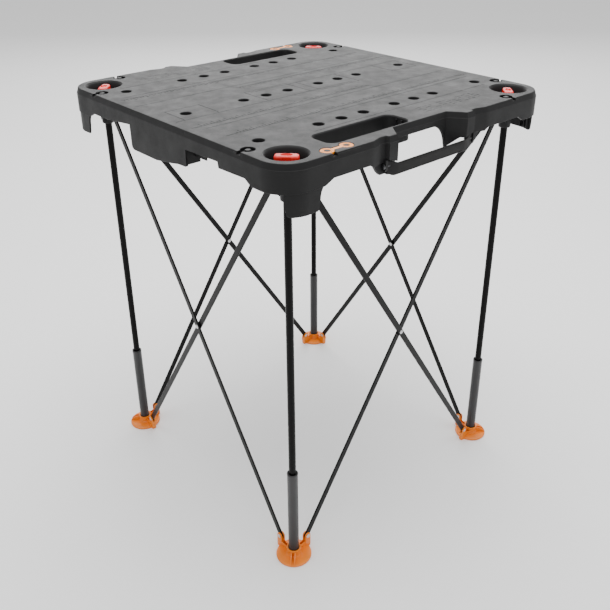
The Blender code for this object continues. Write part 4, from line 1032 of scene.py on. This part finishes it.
def clip_mesh():
    """Dog-bone connector clip with two eyes, rounded rims and a groove round each eye."""
    eye = CLIP_SPACING / 2
    eye_radius = NOTCH_RADIUS - CLIP_CLEARANCE
    half = 0.0021

    def outline(inset):
        neck = NOTCH_NECK / 2 - CLIP_CLEARANCE - inset
        radius = eye_radius - inset
        opening = math.asin(neck / radius)
        sweep = 2 * (math.pi - opening)
        return (arc(radius, -math.pi + opening, sweep, 28, (eye, 0.0))
                + arc(radius, opening, sweep, 28, (-eye, 0.0)))

    steps = ((0.0005, -half), (0.0, -half + 0.0005), (0.0, half - 0.0009), (0.0003, half - 0.0003),
             (0.0009, half))

    def holes(bm):
        profile = ((NOTCH_PIN + 0.0004, -0.01), (NOTCH_PIN + 0.0004, half - 0.0005),
                   (NOTCH_PIN + 0.0010, half), (NOTCH_PIN + 0.0030, half + 0.002))
        for sign in (-1, 1):
            add_turned(bm, profile, 28, Matrix.Translation((sign * eye, 0, 0)))

    def rings_cut(bm):
        for sign in (-1, 1):
            section = ((0.0074, half - 0.0004), (0.0080, half - 0.0004), (0.0080, half + 0.001),
                       (0.0074, half + 0.001))
            add_ring(bm, section, 28, Matrix.Translation((sign * eye, 0, 0)))

    return carve("clip", drawn(add_stack, outline, steps),
                 [("DIFFERENCE", holes), ("DIFFERENCE", rings_cut)], 30)


# ---------------------------------------------------------------- legs, drawn about the leg's axis

def tube_mesh():
    """Upper leg tube with eased ends."""
    outer, inner = TUBE_RADIUS, TUBE_RADIUS - 0.0010
    low, high = TUBE_LOW.z, TUBE_HIGH.z
    section = ((inner, low), (outer - 0.0003, low), (outer, low + 0.0003), (outer, high - 0.0003),
               (outer - 0.0003, high), (inner, high))
    return build_mesh("leg_tube", lambda bm: add_ring(bm, section, 48))


def sleeve_mesh():
    """Lower leg sleeve with a rolled rim."""
    outer, inner = SLEEVE_RADIUS, SLEEVE_RADIUS - 0.0015
    low, high = SLEEVE_LOW.z, SLEEVE_HIGH.z
    section = [(inner - 0.0003, low), (outer - 0.0003, low), (outer - 0.0003, high - 0.0046),
               (outer - 0.00005, high - 0.0040)]
    for x, z in arc(1.0, 0.0, math.pi, 6):
        section.append(((outer + inner) / 2 + (outer - inner) / 2 * x, high - 0.0009 + 0.0009 * z))
    section += [(inner, high - 0.0040), (inner - 0.0003, high - 0.0046)]
    return build_mesh("leg_sleeve", lambda bm: add_ring(bm, section, 48))


def bush_mesh():
    """Nylon bush in the sleeve's mouth that guides the tube."""
    outer, inner = SLEEVE_RADIUS - 0.0021, TUBE_RADIUS + 0.0004
    high = SLEEVE_HIGH.z - 0.0012
    section = ((inner, high - 0.016), (outer, high - 0.016), (outer, high - 0.0004), (outer - 0.0004, high),
               (inner + 0.0004, high), (inner, high - 0.0004))
    return build_mesh("bush", lambda bm: add_ring(bm, section, 40))


EAR_RADIUS = 0.0065
FORK_HALF = BAR_THICKNESS / 2 + 0.0027


def fork_planes(planes):
    """Matrices of the two forks at a corner, each with its bar's plane at local Y = 0."""
    towards_next = Matrix.Translation((EAR_REACH, planes[0], 0))
    towards_last = Matrix.Translation((planes[1], EAR_REACH, 0)) @ Matrix.Rotation(-QUARTER, 4, "Z")
    return towards_next, towards_last


def draw_arms(bm, planes, low, high, half_thick):
    """Flat arms from the leg's axis out under or over the forks, with rounded ends."""
    for matrix, way in zip(fork_planes(planes), (1, -1)):
        root = way * (0.0080 - EAR_REACH)
        tip = way * (EAR_RADIUS + GAP)
        ease = way * 0.0018
        outline = [(root, -half_thick), (tip - ease, -half_thick), (tip, -half_thick + 0.0018),
                   (tip, half_thick - 0.0018), (tip - ease, half_thick), (root, half_thick)]
        add_prism(bm, outline if way > 0 else outline[::-1], low, high, matrix)


def draw_forks(bm, planes, pivot_z, root_z):
    """Fork blocks, rounded round the pivot and widening to their root."""
    direction = 1 if root_z > pivot_z else -1
    for matrix in fork_planes(planes):
        profile = [(x, pivot_z - direction * z) for x, z in arc(EAR_RADIUS, 0.0, math.pi, 16)]
        profile += [(-EAR_RADIUS, root_z), (EAR_RADIUS, root_z)]
        rings = []
        for y, inset in ((-FORK_HALF, 0.0005), (-FORK_HALF + 0.0005, 0.0), (FORK_HALF - 0.0005, 0.0),
                         (FORK_HALF, 0.0005)):
            shrink = 1 - inset / EAR_RADIUS
            rings.append([matrix @ Vector((x * shrink, y, pivot_z + (z - pivot_z) * shrink))
                          for x, z in profile])
        add_loft(bm, rings)


def draw_fork_slots(bm, planes, pivot_z, root_z):
    """Slots for the bar ends."""
    direction = 1 if root_z > pivot_z else -1
    half_slot = BAR_THICKNESS / 2 + GAP
    low, high = sorted((pivot_z + direction * (BAR_WIDTH / 2 + 0.0008), pivot_z - direction * 0.012))
    for matrix in fork_planes(planes):
        add_box(bm, (-0.010, -half_slot, low), (0.010, half_slot, high), matrix)


def draw_fork_bores(bm, planes, pivot_z):
    """Rivet bores through the cheeks."""
    for matrix in fork_planes(planes):
        place = matrix @ Matrix.Translation((0, 0, pivot_z)) @ Matrix.Rotation(QUARTER, 4, "X")
        add_turned(bm, ((0.0027, -0.0064), (0.0027, 0.0064)), 20, place)


def foot_mesh():
    """Foot: stepped pad, rimmed collar, two forks, twin fins out along the diagonal and a grooved sole."""
    outward = Matrix.Rotation(math.radians(225), 4, "Z")

    def pad(bm):
        radius = FOOT_RADIUS
        add_turned(bm, ((radius - 0.0012, 0.0), (radius - 0.0003, 0.0006), (radius, 0.0014), (radius, 0.0030),
                        (radius - 0.0005, 0.0038), (radius - 0.0016, 0.0042), (radius - 0.0090, 0.0047),
                        (radius - 0.0125, 0.0050)), 64)

    def collar(bm):
        add_turned(bm, ((0.0152, 0.002), (0.0152, 0.0048), (0.0140, 0.0058), (0.0131, 0.0080),
                        (0.0130, 0.0150), (0.0136, 0.0158), (0.0138, 0.0168), (0.0136, 0.0184),
                        (0.0130, 0.0190)), 48)

    lobes = drawn(draw_arms, FOOT_PLANES, 0.0, 0.0036, FORK_HALF + GAP)
    forks = drawn(draw_forks, FOOT_PLANES, FOOT_PIVOT_Z, 0.0022)

    def webs(bm):
        for matrix, way in zip(fork_planes(FOOT_PLANES), (-1, 1)):
            for side in (-1, 1):
                y = side * (FORK_HALF - 0.0014)
                profile = [(way * 0.0040, 0.0026), (way * 0.0240, 0.0026), (way * 0.0240, 0.0120),
                           (way * 0.0060, 0.0150)]
                add_loft(bm, [[matrix @ Vector((x, y + off, z)) for x, z in profile]
                              for off in (-0.0008, 0.0008)])

    def fins(bm):
        profile = [(0.0115, 0.0025), (0.0318, 0.0025), (0.0322, 0.0050), (0.0306, 0.0074),
                   (0.0262, 0.0112), (0.0200, 0.0144), (0.0115, 0.0164)]
        for y in (-0.0036, 0.0036):
            add_loft(bm, [[outward @ Vector((x, y + off, z)) for x, z in profile]
                          for off in (-0.0010, 0.0010)])

    slots = drawn(draw_fork_slots, FOOT_PLANES, FOOT_PIVOT_Z, 0.0022)
    bores = drawn(draw_fork_bores, FOOT_PLANES, FOOT_PIVOT_Z)

    def sleeve_bore(bm):
        radius = SLEEVE_RADIUS + GAP
        add_turned(bm, ((radius, SLEEVE_LOW.z - 0.0003), (radius, 0.0178), (radius + 0.0008, 0.0186),
                        (radius + 0.0008, 0.060)), 48)

    def tread(bm):
        for inner in (0.0045, 0.0105, 0.0165, 0.0225):
            section = ((inner, -0.001), (inner + 0.0030, -0.001), (inner + 0.0030, 0.0009), (inner, 0.0009))
            add_ring(bm, section, 48)

    return carve("foot", pad, [("UNION", lobes), ("UNION", collar), ("UNION", webs), ("UNION", forks),
                               ("UNION", fins), ("DIFFERENCE", slots), ("DIFFERENCE", bores),
                               ("DIFFERENCE", sleeve_bore), ("DIFFERENCE", tread)], 34)


def head_mesh():
    """Head of a leg: ribbed socket for the tube, two forks that hang from its plate and two bearing pads."""
    low, high = HEAD_LOW.z, HEAD_HIGH.z
    plate_high = high - 0.0062

    def boss(bm):
        add_turned(bm, ((0.0100, low), (0.0109, low + 0.0009), (0.0112, low + 0.003),
                        (0.0112, plate_high)), 48)

    def plate(bm):
        near, step, far = 0.0085, 0.0125, 0.0240
        outline = [(far, -near), (-near, far), (-step, far), (-far, step), (-far, near), (near, -far),
                   (step, -far), (far, -step)]
        add_prism(bm, outline, plate_high - 0.0063, plate_high - 0.0002)

    arms = drawn(draw_arms, HEAD_PLANES, plate_high - 0.0060, plate_high - 0.0004, FORK_HALF + GAP)
    forks = drawn(draw_forks, HEAD_PLANES, HEAD_PIVOT_Z, plate_high - 0.0035)

    def pads(bm):
        across = Matrix.Rotation(math.radians(-45), 4, "Z")
        for sign in (-1, 1):
            outline = rounded_box(0.0026, 0.0060, 0.0012, 4, (sign * 0.0163, 0.0))
            add_prism(bm, outline, plate_high - 0.003, high, across)

    def boss_ribs(bm):
        for degrees in (45, 135, 225, 315):
            place = Matrix.Rotation(math.radians(degrees), 4, "Z")
            add_box(bm, (0.0095, -0.0010, low + 0.006), (0.0130, 0.0010, plate_high - 0.002), place)

    slots = drawn(draw_fork_slots, HEAD_PLANES, HEAD_PIVOT_Z, plate_high)
    bores = drawn(draw_fork_bores, HEAD_PLANES, HEAD_PIVOT_Z)

    def tube_bore(bm):
        radius = TUBE_RADIUS + GAP
        add_turned(bm, ((radius, 0.700), (radius, TUBE_HIGH.z + 0.0005)), 48)

    return carve("leg_head", boss, [("UNION", plate), ("UNION", arms), ("UNION", forks), ("UNION", pads),
                                    ("UNION", boss_ribs), ("DIFFERENCE", slots), ("DIFFERENCE", bores),
                                    ("DIFFERENCE", tube_bore)], 34)


def bar_mesh():
    """Scissor bar along X: flat strip with round ends, eased edges and rivet bores."""
    half_length = math.hypot(PIVOT_HALF_SPAN, PIVOT_HALF_RISE)
    half_thick = BAR_THICKNESS / 2

    def outline(inset):
        radius = BAR_WIDTH / 2 - inset
        return (arc(radius, -QUARTER, math.pi, 16, (half_length, 0.0))
                + arc(radius, QUARTER, math.pi, 16, (-half_length, 0.0)))

    def strip(bm):
        rings = []
        for inset, y in ((0.0006, -half_thick), (0.0001, -half_thick + 0.0004), (0.0, 0.0),
                         (0.0001, half_thick - 0.0004), (0.0006, half_thick)):
            rings.append([(x, y, z) for x, z in outline(inset)])
        add_loft(bm, rings)

    def bores(bm):
        for x in (-half_length, 0.0, half_length):
            place = Matrix.Translation((x, 0, 0)) @ Matrix.Rotation(QUARTER, 4, "X")
            add_turned(bm, ((0.0026, -0.01), (0.0026, 0.01)), 20, place)

    return carve("bar", strip, [("DIFFERENCE", bores)], 34)


def rivet_mesh(node):
    """Rivet along Y with a domed head at both ends, as long as its CAD solid on side 1."""
    low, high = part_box(node)
    outer = (high.y - low.y) / 2
    inner = outer - 0.0013
    shaft, head = 0.0024, 0.0042
    half = [(shaft, 0.0), (shaft, inner), (head - 0.0002, inner), (head, inner + 0.0002)]
    for i in range(1, 6):
        angle = QUARTER * i / 6
        half.append((head * math.cos(angle), inner + 0.0002 + 0.0011 * math.sin(angle)))
    profile = [(radius, -along) for radius, along in reversed(half[1:])] + half
    return build_mesh("rivet", lambda bm: add_turned(bm, profile, 24, Matrix.Rotation(-QUARTER, 4, "X")))


# ---------------------------------------------------------------- assembly

def side_and_way(start, end):
    """Side that a bar lies on and whether it falls from the side's first corner."""
    falls_forward = end == start % 4 + 1
    return (start if falls_forward else end), falls_forward


def add_top():
    """Top moulding with its bail pins."""
    add_piece("top_moulding", top_mesh(), "top", "table", ["tabletop"])
    pin = pin_mesh()
    for label, side in zip(("front", "back"), HANDLE_SIDES):
        axis = spin(side) @ Matrix.Translation((0, -HALF + PIN_INSET, HEIGHT - PIN_DEPTH))
        for end, flip in (("left", Matrix.Rotation(math.pi, 4, "Z")), ("right", Matrix.Identity(4))):
            add_piece(f"pin_{label}_{end}", pin, "pin", "table",
                      [f"bail_pin_{label}_{end}"], axis @ flip)


def add_knobs():
    """Knobs and their spindles, each across its corner's diagonal."""
    knob, spindle = knob_mesh(), spindle_mesh()
    for corner in CORNERS:
        across = Matrix.Rotation(math.radians(-45), 4, "Z")
        place = leg_axis(corner) @ Matrix.Translation((0, 0, HEIGHT)) @ across
        body = f"knob_{corner}"
        add_piece(f"lock_knob_{corner}", knob, "knob", body, [f"knob_{corner}"], place)
        add_piece(f"lock_spindle_{corner}", spindle, "spindle", body,
                  [f"knob_spindle_{corner}"], place)


def add_bails_and_clips():
    """Carrying bails and stored connector clips."""
    bail, clip = bail_mesh(), clip_mesh()
    for label, side in zip(("front", "back"), HANDLE_SIDES):
        axis = spin(side) @ Matrix.Translation((0, -HALF + PIN_INSET, HEIGHT - PIN_DEPTH))
        add_piece(f"carry_bail_{label}", bail, "bail", f"bail_{label}",
                  [f"bail_{label}"], axis)
        add_piece(f"connector_{label}", clip, "clip", f"clip_{label}",
                  [f"clip_{label}"], Matrix.Translation(middle(f"clip_{label}")))


def add_legs():
    """Leg tubes, heads, sleeves with their bushes, and feet."""
    tube, head, sleeve, bush, foot = tube_mesh(), head_mesh(), sleeve_mesh(), bush_mesh(), foot_mesh()
    for corner in CORNERS:
        place = leg_axis(corner)
        post, base = f"post_{corner}", f"foot_{corner}"
        add_piece(f"tube_{corner}", tube, "tube", post, [f"leg_tube_{corner}"], place)
        add_piece(f"head_{corner}", head, "head", post, [f"leg_head_{corner}"], place)
        add_piece(f"sleeve_{corner}", sleeve, "sleeve", base,
                  [f"leg_sleeve_{corner}"], place)
        add_piece(f"bush_{corner}", bush, "bush", base, [], place)
        add_piece(f"foot_pad_{corner}", foot, "foot", base, [f"foot_{corner}"], place)


def add_bars():
    """Scissor bars with the rivets at their feet and crossings."""
    bar = bar_mesh()
    foot_rivet, cross_rivet = rivet_mesh("foot_rivet_1a"), rivet_mesh("cross_rivet_1")
    for start in CORNERS:
        for end in (start % 4 + 1, (start - 2) % 4 + 1):
            side, forward = side_and_way(start, end)
            node = f"bar_{start}_to_{end}"
            tilt = Matrix.Rotation(BAR_ANGLE if forward else -BAR_ANGLE, 4, "Y")
            place = Matrix.Translation(middle(node)) @ spin(side) @ tilt
            add_piece(f"scissor_{start}_{end}", bar, "bar", node, [node], place)
            rivet = f"foot_rivet_{end}{'a' if start == end % 4 + 1 else 'b'}"
            place = Matrix.Translation(middle(rivet)) @ spin(side)
            add_piece(f"rivet_foot_{start}_{end}", foot_rivet, "rivet", f"foot_{end}",
                      [rivet], place)
    for side in CORNERS:
        node = f"cross_rivet_{side}"
        body = next(name for name, nodes in frame["record"]["behaviour"]["bodies"].items() if node in nodes)
        add_piece(f"rivet_cross_{side}", cross_rivet, "rivet", body, [node],
                  Matrix.Translation(middle(node)) @ spin(side))


# ---------------------------------------------------------------- studio

LENS = 45.77
LENS_SHIFT = -0.0705
EYE = (-0.9548, -1.0867, 1.1659)
YAW, PITCH, ROLL = 0.84913, 0.47032, -0.00768
FLOOR_HALF = 15.0
WORLD_STOPS = ((0.0, 0.8), (0.50, 0.8), (0.62, 0.9), (0.75, 0.6), (0.95, 1.0))
WORLD_STRENGTH = 1.1


def camera():
    """Camera at standing eye level, off the corner of leg 1, looking down at the table."""
    data = bpy.data.cameras.new("camera")
    data.lens = LENS
    data.sensor_width = 36.0
    data.shift_y = LENS_SHIFT
    item = bpy.data.objects.new("camera", data)
    bpy.context.scene.collection.objects.link(item)
    ahead = Vector((math.cos(YAW) * math.cos(PITCH), math.sin(YAW) * math.cos(PITCH), -math.sin(PITCH)))
    level = Vector((math.sin(YAW), -math.cos(YAW), 0.0))
    upright = level.cross(ahead)
    right = level * math.cos(ROLL) + upright * math.sin(ROLL)
    up = upright * math.cos(ROLL) - level * math.sin(ROLL)
    facing = Matrix((right, up, -ahead)).transposed().to_4x4()
    item.matrix_world = Matrix.Translation(EYE) @ facing
    bpy.context.scene.camera = item


def area_light(name, position, target, size, power):
    """Soft rectangular light that faces a target."""
    data = bpy.data.lights.new(name, "AREA")
    data.shape = "RECTANGLE"
    data.size, data.size_y = size
    data.energy = power
    item = bpy.data.objects.new(name, data)
    bpy.context.scene.collection.objects.link(item)
    item.location = position
    item.rotation_mode = "QUATERNION"
    item.rotation_quaternion = (Vector(target) - Vector(position)).to_track_quat("-Z", "Y")


def studio_world():
    """White studio surroundings, brighter near the horizon and overhead than between."""
    world = bpy.data.worlds.new("studio")
    bpy.context.scene.world = world
    world.use_nodes = True
    nodes, links = world.node_tree.nodes, world.node_tree.links
    place = nodes.new("ShaderNodeTexCoord")
    split = nodes.new("ShaderNodeSeparateXYZ")
    ramp = nodes.new("ShaderNodeValToRGB")
    links.new(place.outputs["Generated"], split.inputs["Vector"])
    links.new(split.outputs["Z"], ramp.inputs["Fac"])
    links.new(ramp.outputs["Color"], nodes["Background"].inputs["Color"])
    for index, (position, value) in enumerate(WORLD_STOPS):
        stop = ramp.color_ramp.elements[index] if index < 2 else ramp.color_ramp.elements.new(position)
        stop.position = position
        stop.color = (value, value, value, 1)
    nodes["Background"].inputs["Strength"].default_value = WORLD_STRENGTH


def floor():
    """Wide pale floor, level with the soles of the feet."""
    mesh = bpy.data.meshes.new("floor")
    outline = [(x * FLOOR_HALF, y * FLOOR_HALF, 0) for x, y in ((-1, -1), (1, -1), (1, 1), (-1, 1))]
    mesh.from_pydata(outline, [], [(0, 1, 2, 3)])
    item = bpy.data.objects.new("floor", mesh)
    bpy.context.scene.collection.objects.link(item)
    paint = bpy.data.materials.new("floor_paint")
    paint.use_nodes = True
    shader = paint.node_tree.nodes["Principled BSDF"]
    shader.inputs["Base Color"].default_value = (0.93, 0.93, 0.93, 1)
    shader.inputs["Roughness"].default_value = 0.9
    shader.inputs["Specular IOR Level"].default_value = 0.1
    mesh.materials.append(paint)


add_top()
add_knobs()
add_bails_and_clips()
add_legs()
add_bars()
camera()
studio_world()
floor()
area_light("overhead", (0.3, 0.2, 3.2), (0, 0, 0.6), (3.0, 3.0), 130)
area_light("far_softbox", (2.6, 2.9, 2.4), (0, 0, 0.8), (4.0, 2.2), 80)
